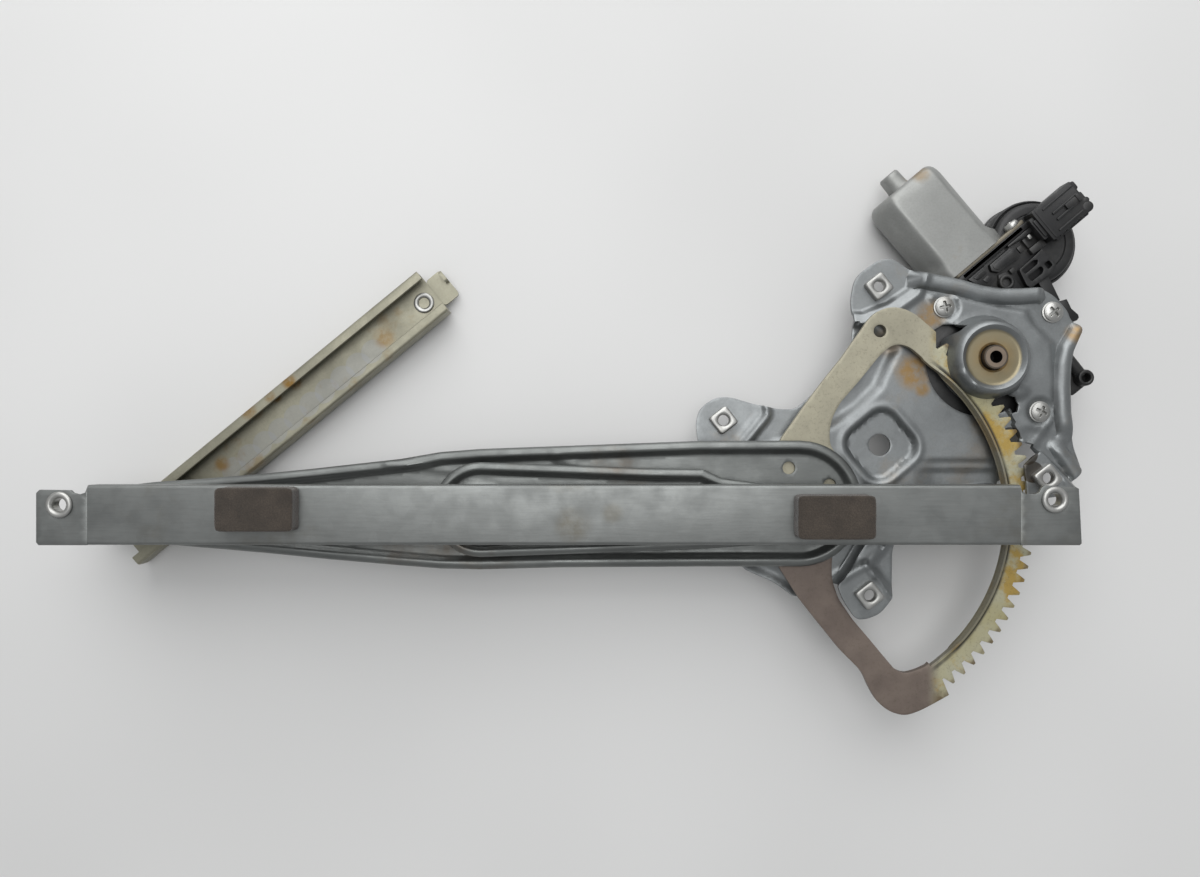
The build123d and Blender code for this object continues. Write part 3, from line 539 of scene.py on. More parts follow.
def finishes(c):
    """Every finish used, by plain name."""
    p = PINION
    grease = tuple(c.grease)
    track = np.stack([np.linspace(-276, -209, 10), np.linspace(20, 76.5, 10)], 1)
    return {
        "zinc plate": steel("zinc_plate", tuple(c.zinc), 0.41, 0.8, 0.12, 0.05, stain=grease, stain_amount=0.16,
                            tints=[(p, 13.0, 0.85, (0.26, 0.22, 0.13)), (p, 7.0, 0.9, GRIME_AND_PAINTED_SHADE),
                                   # painted shade: the three dark discs along the teeth at (94, 20), (91.5, 28) and
                                   # (88.5, 36) stand for shadow on the plate between the gear's teeth
                                   ((94, 20), 5, 0.85, GRIME_AND_PAINTED_SHADE), ((91.5, 28), 5, 0.85, GRIME_AND_PAINTED_SHADE),
                                   ((88.5, 36), 4.5, 0.8, GRIME_AND_PAINTED_SHADE)],
                            spots=[(p, 12.5, 0.4), ((52, 92), 9, 0.7), ((44, 66), 11, 0.8), ((48, 58), 5, 0.7),
                                   ((76, 42), 8, 0.4), ((118, 83), 6, 0.7), ((33, 80), 9, 0.4)]),
        "arm steel": steel("arm_steel", tuple(c.arm), 0.42, 0.8, 0.14, 0.03, stain=(0.11, 0.065, 0.03),
                           stain_amount=0.4, stain_scale=22.0, grain=(0.2, 1, 1)),
        "gear steel": gear_finish("gear_steel", tuple(c.gear)),
        "rail zinc": steel("rail_zinc", tuple(c.rail), 0.40, 0.72, 0.09, 0.04, stain=(0.10, 0.08, 0.045),
                           stain_amount=0.30, stain_scale=18.0, grain=(0.08, 1, 1),
                           spots=[((-112, -2), 10, 0.5), ((-95, 3), 6, 0.35)]),
        "guide zinc": steel("guide_zinc", tuple(c.guide), 0.42, 0.6, 0.16, 0.03, stain=(0.20, 0.11, 0.02),
                            stain_amount=0.35, stain_scale=60.0, low=0.56, high=0.70,
                            tints=[(q, 6.4, 0.45, (0.27, 0.28, 0.29)) for q in track],
                            spots=[((-204, 84), 7, 0.7), ((-282, 23), 5, 0.8), ((-247, 62), 4.5, 1),
                                   ((-256, 55), 3.5, 0.9), ((-266, 48), 5, 0.9), ((-293, 31), 4, 1)]),
        "bright zinc": steel("bright_zinc", (0.40, 0.40, 0.385), 0.40, 0.9, 0.12, stain=grease, stain_amount=0.12),
        "can steel": steel("can_steel", tuple(c.can), 0.46, 0.6, 0.08, 0.0, stain=(0.20, 0.13, 0.05),
                           stain_amount=0.35, stain_scale=45.0, low=0.6, high=0.75,
                           spots=[((48, 158), 6, 0.6)]),
        "flange steel": steel("flange_steel", (0.20, 0.18, 0.14), 0.5, 0.6, 0.2, 0.0, stain=(0.16, 0.09, 0.03),
                              stain_amount=0.7, stain_scale=60.0),
        "pinion steel": steel("pinion_steel", (0.09, 0.075, 0.06), 0.40, 0.7, 0.15, stain=GRIME_AND_PAINTED_SHADE, stain_amount=0.5,
                              tints=[(p, 4.8, 1.0, (0.22, 0.175, 0.135)), (p, 2.9, 1.0, (0.006, 0.006, 0.006))]),
        "black plastic": plastic("black_plastic", tuple(c.plastic)),
        "housing plastic": plastic("housing_plastic", shade(tuple(c.plastic), 0.8), 0.40, 0.20, 500.0),
        "roller plastic": plastic("roller_plastic", (0.05, 0.05, 0.05), 0.5),
        "copper": steel("copper", (0.60, 0.28, 0.13), 0.3, 0.9, 0.08, 0.0, stain_amount=0.1),
        "foam": foam("pad_foam", tuple(c.foam)),
    }


NODE_FINISH = {
    "zinc plate": ["base_plate", "plate_bridge", "plate_tab_top", "plate_tab_left"],
    "gear steel": ["sector_gear"],
    "arm steel": ["lift_arm", "equalizer_front", "equalizer_rear", "crossing_hub"],
    "rail zinc": ["glass_rail"],
    "guide zinc": ["guide_channel"],
    "bright zinc": ["nut_top", "nut_left", "nut_bottom", "nut_right", "motor_screw_1", "motor_screw_2",
                    "motor_screw_3", "rail_nut_left", "rail_nut_right", "guide_nut_upper", "guide_nut_lower",
                    "lift_stud", "front_stud", "rear_stud", "crossing_rivet", "pivot_pin", "connector_terminals"],
    "can steel": ["motor_can", "brush_plate", "housing_cover"],
    "pinion steel": ["pinion", "motor_shaft", "armature_core", "magnet_left", "magnet_right"],
    "black plastic": ["gear_housing", "electronics_drum", "connector_shell"],
    "roller plastic": ["roller_a", "roller_b", "roller_d", "worm_wheel"],
    "copper": ["commutator"],
    "foam": ["pad_left", "pad_right"],
}
SLOT = {
    "zinc plate": "plate_steel", "gear steel": "gear_steel", "arm steel": "galvanised", "rail zinc": "galvanised",
    "guide zinc": "galvanised", "bright zinc": "bright_steel", "can steel": "can_steel", "flange steel": "can_steel",
    "black plastic": "black_plastic", "housing plastic": "black_plastic", "roller plastic": "roller_plastic",
    "foam": "foam",
}
FINISH = {}


# ---- outlines (millimetres about the main pivot) -----------------------------------
PLATE = [(-35, -24.4), (-45.1, 6.8), (-54.3, 29.8), (-55.7, 39), (-55.7, 43.6), (-54.3, 48.2), (-51.5, 51),
         (-47.4, 53.8), (-42.3, 54.4), (-38.2, 53.8), (-29, 51), (-17.5, 48.7), (-9.7, 48.7), (5.5, 62), (16.1, 78.1),
         (17, 89.6), (15.8, 99), (17.5, 108), (20.2, 111.7), (23.9, 114.5), (28.5, 117.7), (34, 118.6), (37.7, 116.8),
         (42.3, 113.6), (47.5, 111.3), (56.1, 109.9), (65.3, 108), (74.5, 105.3), (83.7, 103.9), (92.9, 103.9),
         (102.1, 104.6), (109, 100.7), (115, 93.8), (116.4, 89.6), (121, 86), (118.2, 79.5), (116.4, 74.9),
         (115.7, 68.9), (115.5, 55.1), (115.9, 48.2), (116.8, 36.7), (117.6, 31), (121.5, 20.5), (114.5, 13),
         (108, 9.5), (92, 7), (66, 2.5), (38, -8), (33, -11), (31.6, -16), (31.4, -33), (30.4, -37.5), (25.6, -43.5),
         (19.8, -45.9), (15.8, -46.2), (13.9, -45.2), (8.8, -37.6), (6.3, -31), (8.8, -28.7), (13.2, -22.8),
         (16.8, -16.8), (20.7, -10.8), (25.4, -7.3), (24.8, -6.1), (19.5, -9.7), (15.5, -16.2), (11.9, -22.2),
         (7.6, -28), (5.2, -30.2), (2, -32.4), (-1, -33.5), (-9.7, -38.2), (-19.8, -30.9)]
BRIDGE_GAP = [(82.6, 6), (82.9, 12), (83.2, 15), (86.4, 17), (85.6, 20.5), (83.8, 26.6), (86, 28.4), (90.5, 32),
              (95.6, 33.6), (98.8, 32.4), (98.6, 30), (93.8, 26.6), (90.2, 23), (90.6, 19), (91.2, 15), (91.4, 6.5)]
NUTS = {"nut_top": ((28.3, 105.2), 3.0), "nut_left": ((-43.4, 43.5), 3.0),
        "nut_bottom": ((20.0, -34.9), 16.0), "nut_right": ((99.5, 17.5), 16.0)}
SCREWS = [(58, 95.5), (107.9, 93.2), (102, 47.4)]

GEAR_LOWER = [(58.1, -81.3), (51.7, -84.9), (44.9, -88.5), (38.1, -90.8), (31.3, -89), (25.9, -84.9), (22.2, -79),
              (18.6, -70.8), (8.6, -60.8), (-0.5, -49.5), (-9.5, -38.2), (-19.5, -22.7), (-23, -8), (-23, 18)]
GEAR_UPPER = [(-18.6, 34.4), (-9.5, 47.2), (-0.5, 59.4), (8.6, 70.7), (17.7, 83.5), (21.3, 88.9), (24.5, 92.1),
              (29, 94.3), (33.6, 94.8), (38.1, 93.9), (42.7, 91.6), (47, 88), (52.2, 83.4)]
GEAR_WINDOW = [(49.5, -67.2), (44, -69.9), (38.1, -71.6), (33.6, -69.9), (29, -64.5), (22.2, -56.3), (14.1, -46.8),
               (7.7, -37.3), (5, -29.1), (4.8, -22), (5.6, -14.2), (14, -8), (17.5, 0), (17, 12), (4.1, 32.2),
               (3.8, 38.1), (5, 44.4), (8.6, 51.2), (17.7, 61.7), (26.8, 73), (31.5, 77), (35.8, 78), (40.4, 76.6),
               (47.2, 70.9)]
SECTOR_PHASE, TOOTH_STEP, TEETH_PER_SIDE = 1.05, 3.75, 14
TOOTH = [(92.4, 1.42), (94, 1.05), (95.5, 0.7), (96.9, 0.33)]

ARM_TOP = [(-300.1, 15.6), (-279.9, 16.9), (-252.9, 19.2), (-230.5, 21.4), (-190.1, 25.9), (-172.1, 29),
           (-154.2, 30.4), (-118.3, 31.7), (-55.4, 34), (-10.5, 34.2)]
ARM_BOTTOM = [(-10.5, -22.6), (-55.4, -22.6), (-118.3, -23), (-154.2, -23.9), (-172.1, -23.5), (-190.1, -22.1),
              (-221.5, -19.4), (-252.9, -16.3), (-284.3, -13.6), (-300, -12.4)]
ARM_END = [(-310, -11.2), (-316.5, -7), (-319.8, 0.5), (-317.5, 9), (-310.5, 14.4)]
FRONT_TOP = [(-153.5, 24.6), (-118.1, 23.3), (-78, 21.8), (-54.5, 21.5), (-45.9, 17.5), (-20, 14)]
FRONT_BOTTOM = [(-11.2, -11), (-55.7, -14.1), (-100.3, -15.9), (-153.5, -17.7)]


TOP_BEAD = [(46.5, 108.2), (56.1, 106.6), (65.3, 104.8), (74.5, 102.1), (83.7, 100.8), (92.9, 100.8), (100.5, 101.4)]
RIGHT_BEAD = [(119, 84), (114.2, 76), (112.6, 68.9), (112.2, 58), (112.6, 46), (114, 38)]
WING_RIDGE = [(112, 38), (109.5, 32), (114.5, 25), (119.4, 18)]
TAB_WEB = [(4.2, -30.8), (11.2, -22.8), (14.8, -16.8), (18.8, -10.3), (24.3, -6.7), (29, -9.5), (24.5, -14),
           (20.5, -20.5), (16, -27.5), (10.5, -32.5)]
BRIDGE_EDGE = [(5.3, -47), (5.8, -30.7), (8.2, -28.3), (12.5, -22.5), (16.1, -16.5), (20.1, -10.2), (25.2, -6.6),
               (30.5, 2), (36, 6), (50, 9), (66, 12), (77, 13.4), (83, 12.6), (87.6, 14.5), (88.3, 22), (91.4, 27.4),
               (96.8, 30.8), (99.6, 29.2), (102.6, 26.2), (108, 21), (113.6, 15.6), (118, 11)]
LEFT_TAB_EDGE = [(-62, 19), (-49, 23.5), (-38, 33.5), (-27, 47), (-30, 62)]
TOP_TAB_EDGE = [(8, 93), (21, 92.5), (33, 97), (43, 104), (47, 118)]
BRIDGE = BRIDGE_EDGE + [(135, -60), (5.3, -60)]
LEFT_TAB = LEFT_TAB_EDGE + [(-75, 62), (-75, 19)]
TOP_TAB = TOP_TAB_EDGE + [(47, 128), (0, 128), (0, 93)]
SHOULDER = [(36, 76), (31, 66), (28, 59), (19, 50), (8, 42), (-14, 34), (-60, 20), (-60, 90), (20, 90)]
PLATEAU = [(50, 101), (64, 101), (84, 96), (96, 94), (99, 88), (103, 84), (108, 79), (109, 60), (108, 44),
           (104.5, 37), (100.5, 31.5), (94, 27.5), (60, 20), (60, 60), (60, 86)]
TAB_CORNER, TAB_EAST, TAB_NORTH = (19.0, -21.7), (30.2, -36.0), (4.6, -29.7)
HOOD_RING = 15.4                         # radius of the band of points on the hood
WEB_REACH, ARC_REACH = 90, 99            # from the pivot: the sheet under the gear ends, the raised sheet starts
RECESS_TURN = 40.0


def near_line(xy, line, width):
    """1 on a line, falling smoothly to 0 at the given distance from it."""
    return smooth(1.0 - segment_distance(xy, line) / width)


def half_round(xy, line, radius, rise):
    """A bead along a line: rise times the upper half of an ellipse across it."""
    d = segment_distance(xy, line) / radius
    return rise * np.sqrt(np.clip(1.0 - d * d, 0.0, 1.0))


def ridge(distance, at, width):
    """1 where a distance has the given value, falling smoothly to 0 at a width to either side."""
    return smooth(1 - np.abs(distance - at) / width)


def lifted(z, target, share):
    """Height moved towards a target by a share."""
    return z + share * (target - z)


def base_height(xy):
    """Top of the base plate: flat sheet, plateau, sunk pad and tabs, hood with its ring, raised tabs and rolled
    edges. Each form is a smooth step of the signed depth inside its outline, or of the distance to its line."""
    x, y = xy[:, 0], xy[:, 1]
    r = np.linalg.norm(xy - PINION, axis=1)
    reach = np.linalg.norm(xy, axis=1)
    z = np.full(len(xy), PLATE_TOP)
    z -= 2.4 * smooth((depth_in(xy, SHOULDER) + 3.0) / 6.0) * (reach < WEB_REACH)
    # square recess round the locating hole, with its rim
    local = np.abs(np.stack(turn_plan(*(xy - HOLE).T, -RECESS_TURN, PIVOT), 1)) - 6.0
    box = np.sqrt((np.maximum(local, 0.0) ** 2).sum(1)) + np.minimum(local.max(1), 0.0)
    z -= 2.6 * smooth((8.6 - box) / 2.4)
    z += 0.55 * ridge(box, 9.8, 2.2)
    # sunk tabs, and the shallow steps under the rail
    for tab in (LEFT_TAB, TOP_TAB):
        d = depth_in(xy, tab)
        z = lifted(z, PAD_TOP, smooth((d + 1.2) / 3.4))
        z += 1.3 * ridge(d, -4.2, 2.8) * (reach > 42)
    dip = smooth((x - 43.0) / 12.0) * (reach < WEB_REACH)
    z -= (0.8 * smooth((26.4 - y) / 2.6) + 0.9 * smooth((21.6 - y) / 2.4)) * dip
    # raised sheet outside the teeth, with a foot and a hollow
    z += 1.6 * smooth((depth_in(xy, PLATEAU) + 1.2) / 3.4) * (reach > ARC_REACH)
    foot = np.hypot((x - 90.5) / 6.5, (y - 56.5) / 4.0)
    z += 2.4 * smooth(1.15 - foot) * (reach > ARC_REACH) * smooth((r - 17) / 4)
    hollow = np.hypot((x - 97.5) / 7.0, (y - 36.5) / 4.5)
    z -= 1.3 * smooth(1.2 - hollow) * (reach > ARC_REACH - 2)
    # hood over the pinion, its ring and two dimples
    z = lifted(z, HOOD_TOP, smooth((20.6 - r) / 4.4))
    z += 2.1 * ridge(r, 14.6, 2.9)
    for dimple in ((60.6, 63.5), (66.0, 57.8)):
        z += 1.3 * ridge(np.linalg.norm(xy - np.array(dimple), axis=1), 0.0, 3.4)
    # bridge, whose lower tab falls away on both sides of its corner
    d = depth_in(xy, BRIDGE)
    w = np.where((x < 25) & (y < -4.5), 0.35, np.where(x > 102.3, 2.6, 1.4))
    corner = TAB_CORNER[1]
    east = TAB_CORNER[0] + np.where(y < corner, 0.783 * (corner - y), 0.727 * (y - corner))
    north = y - (TAB_NORTH[1] + 0.556 * (x - TAB_NORTH[0]))
    tab = (y < -5) & (x < 34)
    top_face = BRIDGE_TOP - 2.4 * smooth((x - east) / 6.0) * tab
    top_face -= 1.8 * smooth((north + 1.0) / 7.0) * tab * (x < east + 3)
    z = lifted(z, top_face, smooth((d + w) / (2 * w)))
    z += 0.7 * ridge(d, 3.4, 2.2) * (x > 101.0)
    z += 0.9 * near_line(xy, [TAB_CORNER, TAB_EAST], 2.6) + 0.5 * near_line(xy, [TAB_NORTH, TAB_CORNER], 2.6)
    # rolled edges
    z += half_round(xy, TOP_BEAD, 3.9, 3.2)
    z += half_round(xy, RIGHT_BEAD, 3.9, 3.2) * smooth((y - 32.0) / 11.0)
    z += half_round(xy, WING_RIDGE, 3.4, 2.2) * smooth((36.0 - y) / 8.0)
    z -= 1.2 * near_line(xy, [(-30, -22), (-19, -27), (-9.5, -34)], 5.0)
    # flat seats of the screws and the weld nuts
    seats = [(centre, PLATE_TOP, 7.4, 2.6) for centre in SCREWS]
    seats += [(centre, low, 8.4, 1.8) for centre, low in NUTS.values()]
    for centre, low, radius, ease in seats:
        z = lifted(z, low, smooth((radius - np.linalg.norm(xy - np.array(centre), axis=1)) / ease))
    return z


def recess_square(half):
    """Rounded square of half a side, turned about the locating hole."""
    p = rounded([(-half, -half), (half, -half), (half, half), (-half, half)], 0.62 * half, 9)
    return np.stack(turn_plan(*p.T, RECESS_TURN, HOLE), 1)


def gear_outline():
    """Sector outline: the two side arms and, on the arc, one tooth every TOOTH_STEP degrees."""
    n = np.arange(TEETH_PER_SIDE, -TEETH_PER_SIDE - 1, -1)
    r, h = np.array(TOOTH + [(radius, -half) for radius, half in TOOTH[::-1]]).T
    a = np.radians(SECTOR_PHASE + n[:, None] * TOOTH_STEP + h[None])
    teeth = np.stack([r * np.cos(a), r * np.sin(a)], -1).reshape(-1, 2)
    sides = rounded(GEAR_LOWER + GEAR_UPPER, 3.0, open_ends=True)
    root = TOOTH[0][0]
    return np.vstack([sides, root * direction(55.6), teeth, root * direction(-53.4)])


def gear_window():
    """Window outline: the listed side, and an arc beside the teeth."""
    a = np.radians(np.arange(54, -55, -3.0))
    arc = 84.3 * np.stack([np.cos(a), np.sin(a)], 1)
    return np.vstack([arc, rounded(GEAR_WINDOW, 2.5)[2:-2]])


def gear_height(xy):
    """Top of the gear, with the window's toothed side curled up by a smooth step over 1.5 mm of radius."""
    r = np.linalg.norm(xy, axis=1)
    a = np.degrees(np.arctan2(xy[:, 1], xy[:, 0]))
    span = smooth((a + 50) / 10) * smooth((54 - a) / 10)
    return GEAR_TOP + 2.1 * span * smooth((86.3 - r) / 1.5) * (r > 82)


def arm_outline():
    """Lift arm outline: both long sides, the round end about the pivot and the narrow end."""
    return np.vstack([ARM_TOP, circle_points((-10.5, 5.8), 28.4, 26, 80, -88), ARM_BOTTOM, ARM_END])


def edge_bead(depth, width, rise):
    """Rolled edge: rises as an ellipse from the rim to its peak at 0.42 of the width and eases down to the web."""
    peak = 0.42 * width
    up = np.sqrt(np.clip(1 - (1 - depth / peak) ** 2, 0, 1))
    down = smooth((width - depth) / (0.5 * width))
    return rise * np.where(depth < peak, 0.35 + 0.65 * up, down)


def arm_height(xy):
    """Lift arm: web, rolled edge, and shallow creases where the middle of the arm widens."""
    z = LIFT_TOP + edge_bead(depth_in(xy, arm_outline()), 6.4, 2.8)
    for line in ([(-196, 24), (-158, 20.0)], [(-120, 26.0), (-112, 24.0)], [(-210, -14.0), (-150, -17.5)]):
        z += 0.5 * near_line(xy, line, 3.5)
    flat = np.linalg.norm(xy - ROLLER_A, axis=1)
    return z + (LIFT_TOP - z) * smooth((8.5 - flat) / 1.5)


def front_outline():
    """Equalizer front outline: both sides, the end at the rail's roller and the round end at the crossing."""
    end = circle_points(ROLLER_B, 11.0, 12, 80, -80)
    turn = circle_points((-153.5, 3.45), 21.15, 22, 260, 100)
    return np.vstack([FRONT_TOP, end, FRONT_BOTTOM, turn])


def front_height(xy):
    """Equalizer front half: web, rolled edge and a raised ring round the crossing."""
    z = FRONT_SHEET_TOP + edge_bead(depth_in(xy, front_outline()), 5.8, 2.6)
    r = np.linalg.norm(xy - CROSSING, axis=1)
    return np.maximum(z, FRONT_SHEET_TOP + 1.4 * smooth(1 - np.abs(r - 12.2) / 2.6))


def rear_outline():
    """Convex outline of a 19 mm circle round the crossing and a 12 mm one round roller D."""
    span = ROLLER_D - CROSSING
    length = np.linalg.norm(span)
    base = math.degrees(math.atan2(span[1], span[0]))
    lean = math.degrees(math.acos((19.0 - 12.0) / length))
    one = circle_points(CROSSING, 19.0, 30, base + lean, base + 360 - lean)
    two = circle_points(ROLLER_D, 12.0, 22, base - lean, base + lean)
    return np.vstack([one, two])


def rear_height(xy):
    """Equalizer rear half: web with its rim turned down."""
    d = depth_in(xy, rear_outline())
    return REAR_TOP - 3.5 * smooth((3.2 - d) / 2.6)


# ---- channels ----------------------------------------------------------------------
def channel_section(width, depth, lip, bend):
    """C section of bent sheet: the outer corners have the bend radius, the inner ones less by the sheet."""
    h, s = width / 2, SHEET
    slot = h - s - lip
    pts = [(-h, 0), (h, 0), (h, -depth), (slot, -depth), (slot, -depth + s), (h - s, -depth + s),
           (h - s, -s), (s - h, -s), (s - h, -depth + s), (-slot, -depth + s), (-slot, -depth), (-h, -depth)]
    radii = [bend, bend, bend, 0.5, 0.5, 0.4, 0.4, 0.4, 0.4, 0.5, 0.5, bend]
    corners = zip(pts[-1:] + pts[:-1], pts, pts[1:] + pts[:1], radii)
    return np.vstack([rounded([before, at, after], r, 5)[5:10] for before, at, after, r in corners])


def swept_channel(section, xs):
    """Carry a closed (y, z) section along X."""
    rings = np.zeros((len(xs), len(section), 3))
    rings[..., 0] = xs[:, None]
    rings[..., 1:] = section
    return skin(rings, capped=True)


def guide_place(v):
    """(along, across, z) of the guide to millimetres about the pivot."""
    v = np.asarray(v, float)
    return np.column_stack([*turn_plan(v[:, 0], v[:, 1], GUIDE_TURN, ROLLER_D), v[:, 2]])


# ---- motor frame -------------------------------------------------------------------
def can_place(v):
    """(across, up, along) about the worm to millimetres about the pivot."""
    v = np.asarray(v, float)
    xy = FOOT + v[:, :1] * CAN_SIDE + v[:, 2:] * CAN_DIR
    return np.column_stack([xy, MOTOR_Z + v[:, 1]])


def plan_place(origin):
    """(along CAN_SIDE, along CAN_DIR, z) about a plan point."""
    def place(v):
        v = np.asarray(v, float)
        xy = np.asarray(origin) + v[:, :1] * CAN_SIDE + v[:, 1:2] * CAN_DIR
        return np.column_stack([xy, v[:, 2]])
    return place


def rounded_box(x0, x1, y0, y1, z0, z1, radius, place, chords=4):
    """Box with rounded upright corners."""
    return prism(rounded([(x0, y0), (x1, y0), (x1, y1), (x0, y1)], radius, chords), z0, z1, place)


def can_shell():
    """Motor can: circle with two flats, rounded shoulders at the far end and two ears flared at the flange.
    Across = R cos(a) (shrink + ear cos(a)^2), up = R sin(a) shrink held to the flat, along = s."""
    s = np.array([37.0, 37.6, 39.5, 41.5, 43.5, 45.5, 48.0, 60.0, 72.0, 78.0, 80.5, 82.3, 83.6, 84.5, 85.0, 85.0,
                  85.0])
    shrink = np.array([1, 1, 1, 1, 1, 1, 1, 1, 1, 1, 0.985, 0.955, 0.91, 0.85, 0.78, 0.5, 0.29])
    a = np.linspace(0, 2 * math.pi, 96, endpoint=False)
    radius, flat, steep = 18.0, 14.0, 1.35
    high = radius * np.sin(a)
    soft = flat * np.tanh(high / flat * steep) / math.tanh(steep * radius / flat)
    up = np.clip(high * 1.02, -flat, flat) * 0.75 + soft * 0.25
    ear = 0.17 * smooth((45.5 - s) / 4.5)
    across = radius * np.cos(a) * (shrink[:, None] + ear[:, None] * np.cos(a) ** 2)
    rings = np.stack([across, up * shrink[:, None] + 0 * across, s[:, None] + 0 * across], -1)
    v, faces = skin(rings)
    return can_place(v), faces


def weld_nut(centre, low, side=9.9, high=3.6, hole=2.55, turn=38.0):
    """Square nut: for each angle the rim is a superellipse of power 9, and rings run from the thread over the
    countersink and the crowned face to the rounded rim and down the side."""
    a = np.linspace(0, 2 * math.pi, 72, endpoint=False)
    rim = side / 2 / (np.abs(np.cos(a)) ** 9 + np.abs(np.sin(a)) ** 9) ** (1 / 9)
    rings = [(0.0, hole, 0.0), (0.0, hole, high - 0.55), (0.0, hole + 0.5, high - 0.05), (0.35, hole + 0.6, high),
             (0.86, 0.0, high - 0.02), (0.955, 0.0, high - 0.18), (1.0, 0.0, high - 0.62), (1.0, 0.0, 0.0)]
    rows = []
    for share, start, z in rings:
        r = rim * share + (1 - share) * start if share < 0.5 else rim * share
        r = np.full_like(a, start) if share == 0.0 else r
        rows.append(np.stack([r * np.cos(a), r * np.sin(a), np.full_like(a, z)], 1))
    v = np.stack(rows)
    v[..., 0], v[..., 1] = turn_plan(v[..., 0], v[..., 1], turn, centre)
    v[..., 2] += low
    faces = grid_faces(len(rows), len(a), close_rows=True, close_cols=True)
    return v.reshape(-1, 3), faces


def screw_head(centre, low, turn):
    """Pan head: z = 2.6 less 0.95 (r / R)^2.6, with a cross recess 1.35 deep where |x| or |y| is small."""
    r = np.linspace(0.02, 4.2, 22)
    a = np.linspace(0, 2 * math.pi, 96, endpoint=False)
    x, y = r[:, None] * np.cos(a), r[:, None] * np.sin(a)
    z = 2.6 - 0.95 * (r[:, None] / 4.2) ** 2.6 + 0 * a
    ax, ay = np.minimum(np.abs(x), np.abs(y)), np.maximum(np.abs(x), np.abs(y))
    cut = smooth((0.72 - ax) / 0.35) * smooth((2.75 - ay) / 0.6)
    z = z - 1.35 * np.maximum(cut, smooth((1.15 - r[:, None]) / 0.5))
    top = np.stack([*turn_plan(x, y, turn, centre), low + z], -1)
    rim = top[-1:].copy()
    rim[..., 2] = low
    return skin(np.concatenate([top, rim]), capped=True)


def disc_profile(radius, z0, z1, edge=0.4, hole=0.0):
    """Closed profile of a disc with eased edges, with or without a hole."""
    p = [(hole, z0), (radius - edge, z0), (radius - 0.3 * edge, z0 + 0.3 * edge), (radius, z0 + edge),
         (radius, z1 - edge), (radius - 0.3 * edge, z1 - 0.3 * edge), (radius - edge, z1), (hole, z1)]
    if hole:
        e = min(edge, 0.4)
        p = [(hole + e, z0)] + p[1:-1] + [(hole + e, z1), (hole, z1 - e), (hole, z0 + e), (hole + e, z0)]
    return p


# ---- operators ---------------------------------------------------------------------
def length_property(name, description, default, low, high):
    """Length in metres between two limits."""
    return FloatProperty(name=name, description=description, default=default, min=low, max=high, subtype="DISTANCE",
                         unit="LENGTH")


def colour_property(name, description, default):
    """Linear colour of three values."""
    return FloatVectorProperty(name=name, description=description, default=default, min=0, max=1, size=3,
                               subtype="COLOR")


class RegulatorSizes(bpy.types.PropertyGroup):
    """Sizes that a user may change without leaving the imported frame"""
    sheet_edge: length_property("Sheet edge", "Rounding of every sheared sheet edge", 0.00035, 0.0001, 0.0006)
    grid: length_property("Sheet grid", "Spacing of the points that carry the pressed relief", 0.00125, 0.0009, 0.003)
    bend: length_property("Channel bend", "Outer radius of the bends in rail and guide", 0.0016, 0.0008, 0.0025)


class RegulatorColours(bpy.types.PropertyGroup):
    """Colours of the main finishes"""
    zinc: colour_property("Zinc", "Zinc plated plate", (0.225, 0.237, 0.24))
    arm: colour_property("Arms", "Galvanised arms", (0.165, 0.173, 0.168))
    gear: colour_property("Gear", "Greasy sector steel", (0.33, 0.31, 0.235))
    rail: colour_property("Rail", "Galvanised rail", (0.185, 0.193, 0.188))
    guide: colour_property("Guide", "Patinated guide channel", (0.27, 0.26, 0.20))
    can: colour_property("Motor can", "Drawn motor can", (0.28, 0.285, 0.275))
    plastic: colour_property("Plastic", "Moulded housing", (0.008, 0.0083, 0.009))
    grease: colour_property("Grease", "Aged amber grease", GREASE)
    foam: colour_property("Foam", "Felt-faced foam pads", (0.052, 0.040, 0.030))


class REG_OT_finishes(bpy.types.Operator):
    """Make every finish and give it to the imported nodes"""
    bl_idname = "regulator.finishes"
    bl_label = "Finishes"

    def execute(self, context):
        FINISH.update(finishes(context.scene.regulator_colours))
        for finish, names in NODE_FINISH.items():
            for n in names:
                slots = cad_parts[n].material_slots
                if not slots:
                    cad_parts[n].data.materials.append(FINISH[finish])
                for s in slots:
                    s.material = FINISH[finish]
        return {"FINISHED"}


def hood_slot():
    """Crescent opening round the hood: an outer arc, a rounded tail, an inner arc that narrows at both ends."""
    turn = np.linspace(290, 124, 72)
    gap = 20.4 - 2.4 * smooth((156 - turn) / 22) - 2.0 * smooth((turn - 276) / 14)
    inner = PINION + gap[:, None] * np.stack([np.cos(np.radians(turn)), np.sin(np.radians(turn))], 1)
    return np.vstack([circle_points(PINION, 26.0, 72, 148, 296),
                      [(88.8, 46.6), (91.2, 47.4), (91.8, 50.6), (89.6, 54), (85.2, 55.2)], inner,
                      [(65.6, 86.2), (62.6, 87.4), (57.6, 87.6)]])


